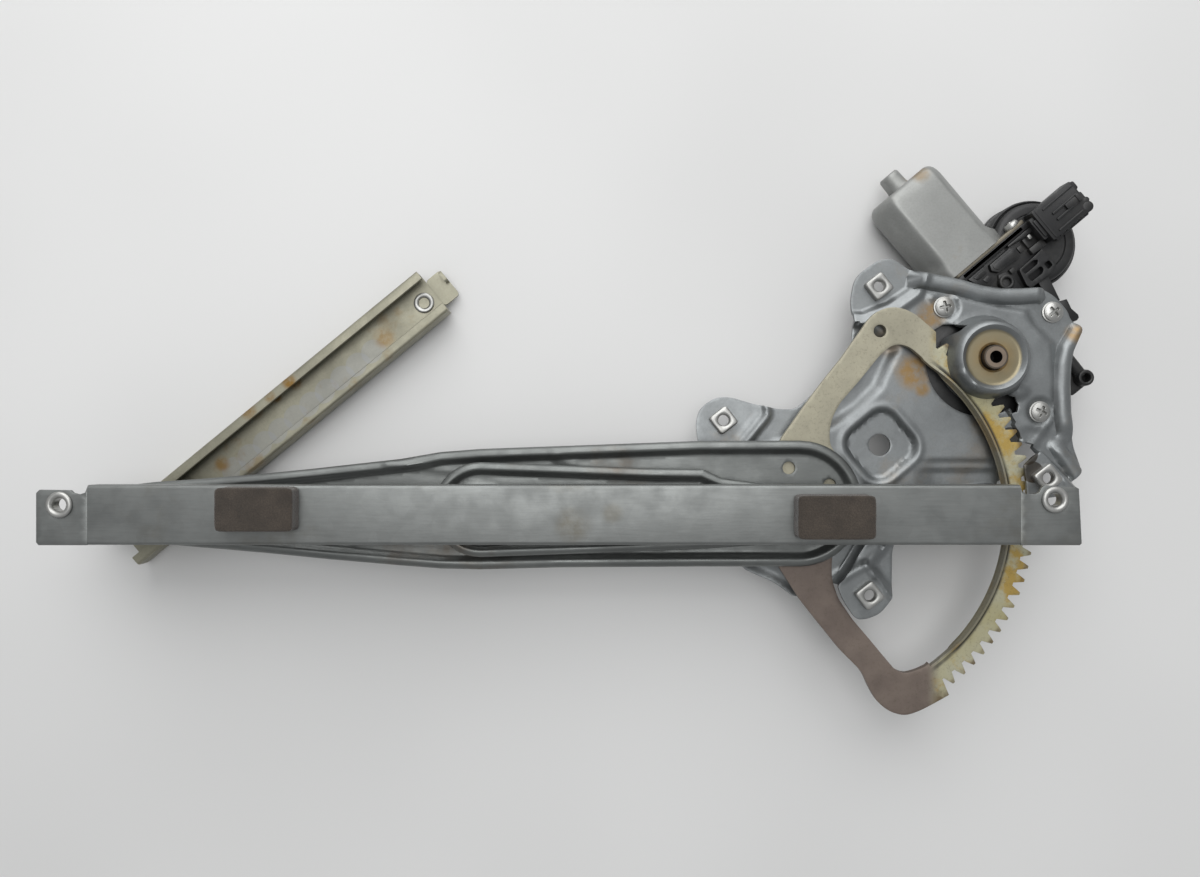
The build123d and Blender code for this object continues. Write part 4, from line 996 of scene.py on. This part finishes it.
class REG_OT_base_plate(bpy.types.Operator):
    """Pressed base plate with its hood, bridge, tabs and rolled edges"""
    bl_idname = "regulator.base_plate"
    bl_label = "Base plate"

    def execute(self, context):
        size = context.scene.regulator_sizes
        grid, edge = in_mm(size.grid), in_mm(size.sheet_edge)
        holes = [hood_slot(), circle_points(HOLE, 5.1, 48), circle_points(PINION, 5.8, 40), BRIDGE_GAP]
        holes += [circle_points(centre, 3.3, 24) for centre, low in NUTS.values()] + [circle_points(PIVOT, 5.0, 24)]
        step = np.array([-3.6, -2.8, -2.1, -1.4, -0.7, 0.0, 0.7, 1.4, 2.1, 2.8, 3.6])
        ring = np.array([-4.8, -3.8, -2.8, -1.8, -0.9, 0.0, 0.9, 1.8, 2.6, 3.4, 4.2, 5.0, 5.8])
        bands = [(recess_square(8.2), step * 0.9, True), (circle_points(PINION, HOOD_RING, 120), ring, True)]
        bands += [(line, step, False) for line in (BRIDGE_EDGE[6:], LEFT_TAB_EDGE, TOP_TAB_EDGE)]
        bands += [(line, step * 1.15, False) for line in (TOP_BEAD, RIGHT_BEAD)]
        stamping("base_plate_sheet", rounded(PLATE, 3.0), holes, base_height, grid, "zinc plate", "base",
                 ["base_plate", "plate_bridge", "plate_tab_top", "plate_tab_left"], bevel=edge, bands=bands)
        stamping("base_plate_web", TAB_WEB, [], flat_at(5.5), grid, "zinc plate", "base", bevel=0.2)
        return {"FINISHED"}


class REG_OT_sector_gear(bpy.types.Operator):
    """Toothed sector with its window's curled edge"""
    bl_idname = "regulator.sector_gear"
    bl_label = "Sector gear"

    def execute(self, context):
        curl = (circle_points(PIVOT, 85.5, 90, -52, 56), (-0.9, -0.45, 0.0, 0.45, 0.9), False)
        stamping("sector_gear_sheet", gear_outline(), [gear_window(), circle_points((26.8, 83.9), 2.9, 28)],
                 gear_height, 1.7, "gear steel", "lift", ["sector_gear"], sheet=3.0, bevel=0.22, edge_step=1.0,
                 bands=[curl])
        return {"FINISHED"}


class REG_OT_arms(bpy.types.Operator):
    """Lift arm and both halves of the equalizer, with rivets and hub"""
    bl_idname = "regulator.arms"
    bl_label = "Arms"

    def execute(self, context):
        edge = in_mm(context.scene.regulator_sizes.sheet_edge)
        rim = np.array([-6.6, -5.8, -5.0, -4.2, -3.4, -2.6, -1.8, -0.9])
        rim = np.concatenate([rim, -rim[::-1]])
        for node, body, outline, step, height, holes, share in (
                ("lift_arm", "lift", arm_outline(), 1.45, arm_height,
                 [((-14.9, 21.8), 2.9, 24), ((3.6, 14.1), 2.9, 24), (PIVOT, 6.05, 32), (CROSSING, 9.05, 36),
                  (ROLLER_A, 4.0, 24)], 1.0),
                ("equalizer_front", "equalizer", front_outline(), 1.3, front_height,
                 [(CROSSING, 5.0, 28), (ROLLER_B, 4.0, 24)], 0.9),
                ("equalizer_rear", "equalizer", rear_outline(), 1.5, rear_height,
                 [(CROSSING, 5.0, 28), (ROLLER_D, 4.0, 24)], 0.0)):
            stamping(node + "_sheet", rounded(outline, 1.5), [circle_points(*hole) for hole in holes], height, step,
                     "arm steel", body, [node], bevel=edge, bands=[(outline, rim * share, True)] if share else ())
        rivet = [(5, 3.2), (7.4, 3), (8, 3.6), (8, 4.6), (7.6, 5), (5, 5), (5, 18.4), (8, 18.4), (8, 19.3), (7.3, 20),
                 (5.2, 20.2), (4.6, 19.7), (2.4, 19.6), (0.02, 19.5), (0.02, 3), (5, 3.2)]
        turned_piece("crossing_rivet_head", rivet, CROSSING, "bright zinc", "equalizer", ["crossing_rivet"])
        turned_piece("crossing_hub_ring", disc_profile(9.0, 6.6, 16.8, 0.5, 5.0), CROSSING, "arm steel", "equalizer",
                     ["crossing_hub"], slot="bare_steel")
        pin = [(0.02, 2.6), (7.5, 2.6), (8, 3.1), (8, 4), (5, 4), (5, 5.6), (12, 5.6), (12, 8.4), (6, 8.5), (6, 13.3),
               (9.4, 13.3), (9.5, 14.3), (8.6, 15.4), (6.8, 15.6), (6.3, 15), (3, 14.9), (0.02, 14.9), (0.02, 2.6)]
        turned_piece("pivot_pin_head", pin, PIVOT, "bright zinc", "base", ["pivot_pin"])
        return {"FINISHED"}


class REG_OT_rollers(bpy.types.Operator):
    """Grooved plastic rollers on their riveted studs"""
    bl_idname = "regulator.rollers"
    bl_label = "Rollers"

    def execute(self, context):
        for name, body, centre, radius, z0, z1 in (("roller_a", "arm_roller", ROLLER_A, 10.9, 25.9, 31.9),
                                                   ("roller_b", "rail_roller", ROLLER_B, 10.9, 25.9, 31.9),
                                                   ("roller_d", "guide_roller", ROLLER_D, 10.0, -11.7, -6.3)):
            m, g = (z0 + z1) / 2, 0.9
            p = [(4.1, z0 + 0.4), (4.5, z0), (radius - 1.2, z0), (radius - 0.3, z0 + 0.3), (radius, z0 + 1.0),
                 (radius, m - g), (radius - 1.2, m - g + 0.4), (radius - 1.2, m + g - 0.4), (radius, m + g),
                 (radius, z1 - 1.0), (radius - 0.3, z1 - 0.3), (radius - 1.2, z1), (6.4, z1), (6.2, z1 - 0.6),
                 (4.6, z1 - 0.6), (4.1, z1 - 1.0), (4.1, z0 + 0.4)]
            turned_piece(name + "_wheel", p, centre, "roller plastic", body, [name], count=48)
        for name, body, centre, (a, b, c, d, e) in (
                ("lift_stud", "lift", ROLLER_A, (9.8, 11.6, 13.2, 25.7, 31.8)),
                ("front_stud", "equalizer", ROLLER_B, (16.3, 16.8, 18.4, 25.7, 31.8)),
                ("rear_stud", "equalizer", ROLLER_D, (8.2, 6.6, 5.0, -6.1, -11.6))):
            t = 1 if e > a else -1
            p = [(0.02, a), (5.9, a), (6.5, a + 0.5 * t), (6.5, b), (4.0, b), (4.0, c), (5.0, c), (5.0, d - 0.2 * t),
                 (4.8, d), (4.0, d), (4.0, e - 0.6 * t), (3.5, e), (0.02, e), (0.02, a)]
            turned_piece(name + "_pin", p, centre, "bright zinc", body, [name])
        return {"FINISHED"}


class REG_OT_channels(bpy.types.Operator):
    """Glass rail with its two ears, and the guide channel with its end tab"""
    bl_idname = "regulator.channels"
    bl_label = "Channels"

    def execute(self, context):
        bend = in_mm(context.scene.regulator_sizes.bend)
        y, h, start, end = REST_RISE, 12.9, -320.0, 80.0
        rail, faces = swept_channel(channel_section(25.8, 10.5, 3.0, bend), np.linspace(start, end, 60))
        solid_piece("glass_rail_channel", [(rail + np.array([0, y, RAIL_TOP]), faces)], "rail zinc", "rail",
                    ["glass_rail"])
        left = [(-342.0, -h + 1.2), (-341.0, -h), (start, -h), (start, h - 0.5), (-321.0, h - 3.2), (-323.4, h - 4.0),
                (-326.0, h - 3.4), (-327.2, h - 2.2), (-340.6, h - 2.0), (-342.0, h - 3.4)]
        right = [(end, -h), (105.4, -h), (106.2, -h + 0.8), (105.0, h - 1.6), (103.8, h - 0.9), (90.2, h - 0.2),
                 (88.8, h - 1.2), (88.0, h - 3.0), (86.2, h - 3.9), (82.6, h - 3.9), (80.8, h - 2.8), (end, h - 0.8)]
        for side, outline, nut in (("left", left, RAIL_NUTS[0]), ("right", right, RAIL_NUTS[1])):
            stamping(f"glass_rail_{side}_ear", np.array(outline) + (0.0, y), [circle_points(nut, 4.0, 28)],
                     flat_at(RAIL_TOP - 0.02), 3.0, "rail zinc", "rail", bevel=0.3)
        section = channel_section(24.0, 10.5, 3.0, bend) * (1, -1)
        guide, faces = swept_channel(section[::-1], np.linspace(-24.0, 165.0, 40))
        tab = rounded_box(164.9, 174, -7.5, 7.5, GUIDE_BACK, GUIDE_BACK + SHEET, 2.0, guide_place, 5)
        lug = rounded_box(0.2, 6.2, -12.9, -8.9, 172.4, 174.0, 1.6, lambda v: guide_place(v[:, [2, 0, 1]]), 5)
        solid_piece("guide_channel_shell", [(guide_place(guide + np.array([0, 0, GUIDE_BACK])), faces), tab, lug],
                    "guide zinc", "guide", ["guide_channel"])
        return {"FINISHED"}


class REG_OT_fasteners(bpy.types.Operator):
    """Weld nuts, screws and the flanged nuts of rail and guide"""
    bl_idname = "regulator.fasteners"
    bl_label = "Fasteners"

    def execute(self, context):
        bright = "bright zinc"
        for name, (centre, low) in NUTS.items():
            solid_piece(name + "_square", [weld_nut(centre, low)], bright, "base", [name], sharp=45)
        for i, (centre, turn) in enumerate(zip(SCREWS, (12.0, 40.0, 63.0))):
            head = screw_head(centre, PLATE_TOP, turn)
            flange = turned(disc_profile(4.9, PLATE_TOP, 6.3, 0.25), centre, 48)
            shank = turned(disc_profile(2.4, -6.2, PLATE_TOP, 0.2), centre, 24)
            name = f"motor_screw_{i + 1}"
            solid_piece(name + "_head", [head, flange, shank], bright, "base", [name], sharp=40)
        nut = [(2.9, 29.9), (4, 29.9), (4, 34.5), (5.4, 34.5), (5.7, 34.9), (5.6, 35.4), (5, 35.8), (4.3, 35.9),
               (3.7, 35.7), (3.1, 35), (2.9, 34.2), (2.9, 29.9)]
        for name, centre in zip(("rail_nut_left", "rail_nut_right"), RAIL_NUTS):
            turned_piece(name + "_flange", nut, centre, bright, "rail", [name], sharp=50)
        nut = [(2.55, -14.5), (3.6, -14.5), (3.6, -12.9), (4.7, -12.9), (4.9, -12.6), (4.8, -12.2), (4.3, -11.9),
               (3.4, -11.9), (2.9, -12.2), (2.55, -12.6), (2.55, -14.5)]
        for name, along in (("guide_nut_upper", 158.0), ("guide_nut_lower", -16.0)):
            turned_piece(name + "_flange", nut, ROLLER_D + along * direction(GUIDE_TURN), bright, "guide", [name],
                         sharp=50)
        return {"FINISHED"}


class REG_OT_motor(bpy.types.Operator):
    """Motor can with shoulders, flared ears and its end boss, on a flanged plate"""
    bl_idname = "regulator.motor"
    bl_label = "Motor"

    def execute(self, context):
        a = np.linspace(0, 2 * math.pi, 48, endpoint=False)
        s = np.array([84.0, 85.4, 86.2, 90.5, 92.2, 93.0, 93.0])[:, None]
        r = np.array([6.2, 5.7, 5.3, 5.1, 4.9, 4.2, 0.05])[:, None]
        boss, faces = skin(np.stack([np.clip(r * np.cos(a), -4.3, 4.3), r * np.sin(a), s + 0 * a], -1))
        solid_piece("motor_can_shell", [can_shell(), (can_place(boss), faces)], "can steel", "base", ["motor_can"],
                    sharp=50)
        flange = rounded_box(-12.5, 30.5, -12.5, 12.5, 35.4, 37.0, 4.0, can_place, 6)
        solid_piece("brush_plate_flange", [flange], "flange steel", "base", ["brush_plate"], bevel=0.25)
        dish = [(0.05, -21), (20, -21), (22, -20.4), (25.2, -20.4), (26.4, -20.9), (27, -20.3), (27, -19.3),
                (26.6, -19), (0.05, -19)]
        turned_piece("housing_cover_dish", dish, PINION, "can steel", "base", ["housing_cover"], count=96)
        return {"FINISHED"}


def lobe(a, ra, b, rb, z0, z1):
    """Prism over the convex outline round two circles."""
    pts = np.vstack([circle_points(a, ra, 64), circle_points(b, rb, 48)])
    hull = convex_hull_2d([Vector(q) for q in pts])
    return prism(pts[hull], z0, z1)


def axis_turned(profile, origin, direction, count=32):
    """Surface of revolution about a level axis; profile rows are (radius, distance along the axis)."""
    d = np.array([direction[0], direction[1], 0.0]) / np.hypot(*direction)
    return turned(profile, origin, count, ((-d[1], d[0], 0.0), (0.0, 0.0, 1.0), d))


def housing_parts():
    """Gear housing: three lobes from the worm wheel to the screws, the worm's tube, the flange under the can,
    the block with its stepped top, and the arm to the ear."""
    foot = plan_place(FOOT)
    parts = [lobe(PINION, 29.0, SCREWS[0], 7.0, -19.0, 2.4), lobe(PINION, 29.0, SCREWS[1], 7.0, -18.9, 2.3),
             lobe(PINION, 28.9, SCREWS[2], 7.0, -18.8, 2.2),
             lobe(SCREWS[1], 7.0, FOOT + 21 * CAN_DIR, 10.5, -18.7, 0.3)]
    parts += [turned(disc_profile(6.0, -18.0, 4.0, 0.3), q, 40) for q in SCREWS]
    tube = [(0.05, -24), (5, -24), (5.4, -23.6), (5.4, -22.6), (8.3, -22.2), (9.4, -21), (9.4, 12), (8.9, 12.6),
            (8.9, 33), (0.05, 33)]
    parts.append(axis_turned(tube, (FOOT[0], FOOT[1], MOTOR_Z), CAN_DIR, 48))
    parts.append(rounded_box(-12.0, 30.0, -12.5, 12.5, 33.0, 35.4, 3.5, can_place, 6))
    block = [(-11.5, 33.5), (30.2, 33.5), (30.6, 21.4), (28, 20.7), (28.2, 12.7), (27.2, 10.2), (25, 9.6), (12, 10),
             (-11.5, 22)]
    parts.append(prism(block, -18.6, 0.4, foot))
    steps = [([(-12, 32.4), (30.2, 32.4), (30.2, 35.2), (-12, 35.2)], 3.1),
             ([(3.2, 27.9), (4.3, 30.7), (16, 30.7), (18.5, 29), (18.5, 25.3), (17.4, 24.4), (5.3, 25.3)], 2.9),
             ([(4.6, 27.9), (5.1, 29.7), (15.8, 29.7), (17.3, 28.5), (17.3, 25.8), (16.8, 25.4), (5.9, 26.2)], 3.15),
             ([(-7.5, 31.9), (2.9, 31.9), (2.3, 27.7), (3.3, 24.2), (-3.4, 23.1), (-5.7, 27.4)], 2.3),
             ([(-10.5, 31.6), (-7.9, 31.6), (-6.3, 27), (-9.8, 25)], 1.7),
             ([(-5.4, 30.9), (1.6, 30.9), (1, 28.6), (-4.2, 28.6)], 2.8),
             ([(-2.6, 27.4), (0.7, 27.6), (1.6, 25.2), (-1.8, 24.6)], 2.7),
             ([(4.9, 24.4), (8, 23.4), (9.9, 19.4), (9.4, 11.6), (5.9, 13), (1.2, 19.2)], 1.8),
             ([(16.4, 31.2), (19.5, 31), (25.4, 30), (30.3, 29.8), (30.3, 32.2), (16.4, 32.2)], 2.8),
             ([(19.6, 28.4), (22.2, 28.4), (22.2, 25.2), (19.6, 25.2)], 1.3),
             ([(22.9, 24.6), (30.6, 24.4), (30.8, 21), (22.9, 21.4)], 3),
             ([(29.9, 24), (30.8, 24), (30.7, 30.2), (29.9, 30.2)], 3.3),
             ([(23.4, 24.8), (24.9, 24.8), (24.9, 29.6), (23.4, 29.6)], 2.2),
             ([(9.9, 22.9), (12.3, 22.9), (12.3, 20.6), (9.9, 20.6)], 2.1)]
    parts += [prism(outline, -2.0, top, foot) for outline, top in steps]
    arm = [(17.2, 10.5), (22.8, 9.6), (19.6, -3.2), (15, -3)]
    wedge = [(12, -4), (19.7, -3.8), (22.1, -4.7), (20.9, -9.4), (21.5, -13.6), (20.9, -15), (19.3, -15.4), (12, -13)]
    parts += [prism(arm, -14.0, 1.2, foot), prism(wedge, -10.0, 1.6, foot)]
    ring = [(2, 0), (2, 3.2), (2.3, 3.6), (3.2, 3.6), (3.5, 3.2), (3.5, 0), (2, 0)]
    parts.append(turned(ring, foot([[5.2, 19.5, 0.0]])[0], 40))
    web = rounded([(110, 72), (119.5, 73.5), (125, 68), (129, 64.6), (129.3, 61.4), (121.4, 55), (118.6, 56.2),
                   (112, 60)], 1.6, 4)
    parts.append(prism(web, -14.0, -2.5))
    root = np.array([116.0, 75.5])
    run = np.hypot(*(EAR - root)) - 1.5
    parts.append(axis_turned([(0.05, 0.0), (2.7, 0.0), (2.7, run), (0.05, run)], (*root, -0.9), EAR - root, 32))
    ear = [(2.1, -15), (2.1, 1.9), (2.4, 2.3), (3.3, 2.3), (3.7, 1.8), (4.1, -3), (4.6, -14.6), (4.2, -15),
           (2.1, -15)]
    parts.append(turned(ear, EAR, 48))
    return parts


def back_ribs():
    """Low walls on the housing's back that run from the wheel's cover to the screw towers and the flange."""
    parts = []
    for q, r in [(q, 5.0) for q in SCREWS] + [(FOOT + 26 * CAN_DIR, 1.0)]:
        d = (q - PINION) / np.hypot(*(q - PINION))
        n = np.array([-d[1], d[0]])
        for side in (-4.2, 0.0, 4.2):
            parts.append(bar(PINION + d * 27.5 + n * side, q - d * r + n * side, 1.4, -19.5, -18.0))
    tower = [(2.4, -18), (2.4, -19.7), (5.6, -19.7), (5.9, -19.4), (5.9, -18), (2.4, -18)]
    return parts + [turned(tower, q, 40) for q in SCREWS]


def connector_parts():
    """Plug housing that lies on the drum: four walls and a closed end round an open socket, a latch ridge, rails
    along both sides, a ledge with notches and a rounded hook at the mouth's corner."""
    place = plan_place(DRUM + 4.7 * CAN_DIR + 3.0 * CAN_SIDE)
    box = [(1.5, 23, -8.1, 8.1, 6.7, 8, 1.2), (1.5, 22.6, -8.1, 8.1, -0.5, 0.9, 1.2),
           (1.5, 22.8, 6.8, 8.15, 0, 7.6, 0.5), (1.5, 22.8, -8.15, -6.8, 0, 7.6, 0.5),
           (0.2, 4, -8.2, 8.2, -0.5, 7.7, 0.8), (-2, 2.6, -5.6, 6.2, -0.5, 5.8, 0.8),
           (-1.2, 1.6, -4.4, 4.6, 5, 6.6, 0.6), (7, 21.5, -2.3, -1.1, 7.6, 8.8, 0.4),
           (7, 21.5, 1.1, 2.3, 7.6, 8.8, 0.4), (13.5, 20.5, -1.4, 1.4, 7.6, 9.3, 0.5),
           (19.6, 21.4, -1.9, 1.9, 7.6, 9.7, 0.5), (4.6, 22.2, 5.4, 6.4, 7.7, 8.5, 0.4),
           (4.6, 19, -6.6, -5.6, 7.7, 8.5, 0.4), (3.5, 22.8, -9.9, -8, 1.6, 3.4, 0.7),
           (22, 24.6, 3, 7.4, 2, 7.2, 1.6), (21.6, 23.9, -3, 1.4, 6.2, 7.7, 0.9)]
    box += [(x, x + 1.3, -8.8, -8.0, 3.0, 6.8, 0.3) for x in (4.4, 8.6, 12.8, 17.0, 20.6)]
    parts = [rounded_box(x0, x1, y0, y1, z0, z1, r, place) for x0, x1, y0, y1, z0, z1, r in box]
    for x, y, r in ((22.0, -6.2, 2.5), (23.2, -3.4, 1.5)):
        parts.append(turned(disc_profile(r, 1.0, 8.2, 0.5), place([[x, y, 0.0]])[0], 32))
    return parts


def drum_cap():
    """Drum turned from its profile, with 24 shallow hollows, 0.35 deep, round its side."""
    a = np.linspace(0, 2 * math.pi, 160, endpoint=False)
    rz = np.array([(0.05, -20), (18.5, -20), (20.4, -19.2), (20.9, -17.8), (20.9, -14), (20.6, -13.6), (20.9, -13.2),
                   (20.9, -5.4), (20.7, -4.6), (20.2, -4.2), (19.7, -4.4), (19.5, -5.6), (19.2, -5.6), (19.1, -3),
                   (18.7, -1.6), (17.9, -0.8), (16.6, -0.5), (14.2, -0.5), (13.9, -0.9), (13.5, -0.55), (0.05, -0.5)])
    r, z = rz[:, :1], rz[:, 1:]
    r = r - 0.35 * np.exp(-((z + 10.0) / 3.0) ** 2) * (0.5 + 0.5 * np.cos(24 * a)) * (r > 19)
    return skin(np.stack([DRUM[0] + r * np.cos(a), DRUM[1] + r * np.sin(a), z + 0 * a], -1))


class REG_OT_electronics(bpy.types.Operator):
    """Drum, connector, flange screw, and the housing with its stepped block, window frame and ear"""
    bl_idname = "regulator.electronics"
    bl_label = "Housing and electronics"

    def execute(self, context):
        black, grey = "black plastic", "housing plastic"
        foot = plan_place(FOOT)
        solid_piece("electronics_drum_cap", [drum_cap()], black, "base", ["electronics_drum"], sharp=35)
        solid_piece("housing_shell", housing_parts() + back_ribs(), grey, "base", ["gear_housing"], bevel=0.28,
                    sharp=35)
        outlines = [[(13.1, 20.2), (21.1, 20.4), (27.6, 20.8), (28.2, 12.9), (27.4, 10.2), (25.2, 9.5), (17.8, 9.8),
                     (12, 10.1), (11.2, 12.4)],
                    [(13.9, 16.9), (21.2, 16.7), (22.9, 18.2), (20.8, 19.4), (13.9, 19.3)],
                    [(14, 12.3), (20.4, 12), (22.1, 13.2), (22, 15.1), (14, 15.3)],
                    [(23.6, 11.6), (26.5, 11.8), (26.6, 14.8), (23.6, 15)]]
        flat = [foot(np.insert(rounded(q, 0.8, 4), 2, 0.0, axis=1))[:, :2] for q in outlines]
        stamping("housing_window_frame", flat[0], flat[1:], flat_at(3.3), 1.6, grey, "base", sheet=4.5, bevel=0.3,
                 edge_step=0.8)
        solid_piece("connector_body", connector_parts(), black, "base", ["connector_shell"], bevel=0.22, sharp=35)
        head = [(0.05, 2.7), (1, 2.7), (1.2, 2.1), (1.9, 2.1), (2.1, 2.6), (2.9, 2.3), (3.4, 1.6), (3.5, 0.9),
                (3.5, 0), (0.05, 0)]
        screw = axis_turned(head, foot([[24.6, 37.0, 0.6]])[0], CAN_DIR, 40)
        clip = rounded_box(26.6, 28.2, 27.6, 29.6, -1.0, 2.0, 0.3, foot)
        solid_piece("flange_screw_head", [screw, clip], "bright zinc", "base", bevel=0.12, sharp=40)
        return {"FINISHED"}


class REG_OT_pads(bpy.types.Operator):
    """Two felt-faced foam pads on the rail"""
    bl_idname = "regulator.pads"
    bl_label = "Foam pads"

    def execute(self, context):
        for name, centre in (("pad_left", (-245.7, 5.2)), ("pad_right", (-0.8, 1.9))):
            block = foam_block(centre, 33.0, 18.8, RAIL_TOP, 43.5)
            obj = solid_piece(name + "_foam", [block], "foam", "rail", [name], sharp=60)
        return {"FINISHED"}


def foam_block(centre, length, width, z0, z1):
    """Foam block: a superellipse outline whose sides pull in by 0.36 mm at mid height; above a pull of EASE the rows
    close over the top, which crowns by CROWN."""
    t = np.linspace(0, 2 * math.pi, 160, endpoint=False)
    power, ease, span, crown = 14.0, 1.1, 8.3, 0.25
    k = (np.abs(np.cos(t)) ** power + np.abs(np.sin(t)) ** power) ** (-1 / power)
    ux, uy = k * np.cos(t), k * np.sin(t)
    levels = np.array([0.0, 0.05, 0.12, 0.3, 0.5, 0.7, 0.88, 0.955, 0.99, 1.0, 1.0, 1.0, 1.0, 1.0, 1.0])[:, None]
    pull = np.array([0.25, 0.0, 0.12, 0.3, 0.36, 0.3, 0.12, 0.2, 0.55, 1.1, 2.2, 4.5, 7.0, 8.6, 9.35])[:, None]
    wobble = 0.10 * np.sin(3 * t + 1) + 0.07 * np.sin(7 * t) + 0.05 * np.sin(13 * t + 2)
    top, share = pull > 1.0, 1 - (pull - ease) / span
    x = np.where(top, ux * (length / 2 - ease) * share, ux * (length / 2 - pull) + 0.5 * wobble)
    y = np.where(top, uy * (width / 2 - ease) * share, uy * (width / 2 - pull))
    z = z0 + (z1 - z0) * levels - crown * levels + crown * np.clip((pull - 1.0) / span, 0, 1) + 0 * x
    return skin(np.stack([centre[0] + x, centre[1] + y, z], -1), capped=True)


TILT = math.radians(1.4)                 # the regulator lies with its rail end lower
TABLE_AT = Vector((-0.33, -0.03, -0.0153))
TABLE_REACH = 3.0
CAMERA_AT = (-0.1295, 0.003, 0.420)
SENSOR, LENS = 36.0, 27.0
ROOM_COLOUR, ROOM_LIGHT = (0.80, 0.81, 0.82, 1), 0.50
LAMPS = (("window", (-0.15, 1.05, 0.80), 1.5, 18.0), ("ceiling", (-0.2, 0.2, 1.6), 0.9, 8.0))
LAMP_AIM = Vector((-0.1, 0, 0))


class REG_OT_stage(bpy.types.Operator):
    """Make the table, the lamps, the world and the camera"""
    bl_idname = "regulator.stage"
    bl_label = "Stage"

    def execute(self, context):
        make_stage(context.scene)
        return {"FINISHED"}


def make_stage(scene):
    """Tilted table under the regulator, two area lamps, an even grey room and the camera above."""
    mesh = bpy.data.meshes.new("table")
    spin = Matrix.Rotation(TILT, 4, "Y")
    corners = [Vector((x * TABLE_REACH, y * TABLE_REACH, 0)) for x, y in ((-1, -1), (1, -1), (1, 1), (-1, 1))]
    mesh.from_pydata([tuple(TABLE_AT + spin @ corner) for corner in corners], [], [(0, 1, 2, 3)])
    table = bpy.data.objects.new("table", mesh)
    scene.collection.objects.link(table)
    mesh.materials.append(table_finish())
    world = bpy.data.worlds.new("room")
    world.use_nodes = True
    room = world.node_tree.nodes["Background"].inputs
    room[0].default_value, room[1].default_value = ROOM_COLOUR, ROOM_LIGHT
    scene.world = world
    for name, where, size, power in LAMPS:
        lamp = bpy.data.lights.new(name, "AREA")
        lamp.energy, lamp.size = power, size
        obj = bpy.data.objects.new(name, lamp)
        obj.location = where
        obj.rotation_mode = "QUATERNION"
        obj.rotation_quaternion = (LAMP_AIM - Vector(where)).to_track_quat("-Z", "Y")
        scene.collection.objects.link(obj)
    cam = bpy.data.cameras.new("view")
    cam.sensor_width, cam.lens = SENSOR, LENS
    cam.clip_start, cam.clip_end = 0.01, 20.0
    obj = bpy.data.objects.new("view", cam)
    scene.collection.objects.link(obj)
    obj.rotation_mode = "QUATERNION"
    obj.location = CAMERA_AT
    scene.camera = obj
    scene.view_settings.view_transform = "Standard"


def table_finish():
    """Pale table top with a faint change of tone."""
    g = Graph("table_top")
    tone = g.noise(3.0, 2.0)
    return g.done(g.mix(g.ramp(tone, 0.3, 0.7), (0.60, 0.60, 0.595), (0.66, 0.66, 0.655)), 0.75)


class REG_PT_panel(bpy.types.Panel):
    """Sizes, colours and the steps that build the regulator"""
    bl_idname = "REG_PT_panel"
    bl_label = "Window regulator"
    bl_space_type = "VIEW_3D"
    bl_region_type = "UI"
    bl_category = "Regulator"

    def draw(self, context):
        for group in (context.scene.regulator_sizes, context.scene.regulator_colours):
            for key in group.__annotations__:
                self.layout.prop(group, key)
        for cls in STEPS:
            self.layout.operator(cls.bl_idname)


STEPS = (REG_OT_stage, REG_OT_finishes, REG_OT_base_plate, REG_OT_sector_gear, REG_OT_arms, REG_OT_rollers,
         REG_OT_channels, REG_OT_fasteners, REG_OT_motor, REG_OT_electronics, REG_OT_pads)
CLASSES = (RegulatorSizes, RegulatorColours) + STEPS + (REG_PT_panel,)


def register():
    """Add the classes and the scene's two groups of settings."""
    for cls in CLASSES:
        bpy.utils.register_class(cls)
    bpy.types.Scene.regulator_sizes = bpy.props.PointerProperty(type=RegulatorSizes)
    bpy.types.Scene.regulator_colours = bpy.props.PointerProperty(type=RegulatorColours)


def unregister():
    """Remove the settings and the classes."""
    del bpy.types.Scene.regulator_colours
    del bpy.types.Scene.regulator_sizes
    for cls in reversed(CLASSES):
        bpy.utils.unregister_class(cls)


def main():
    """Build everything in the shared frame."""
    register()
    for cls in STEPS:
        group, step = cls.bl_idname.split(".")
        result = getattr(getattr(bpy.ops, group), step)()
        if "FINISHED" not in result:
            raise RuntimeError(cls.bl_label + " did not finish")


if __name__ == "__main__":
    main()
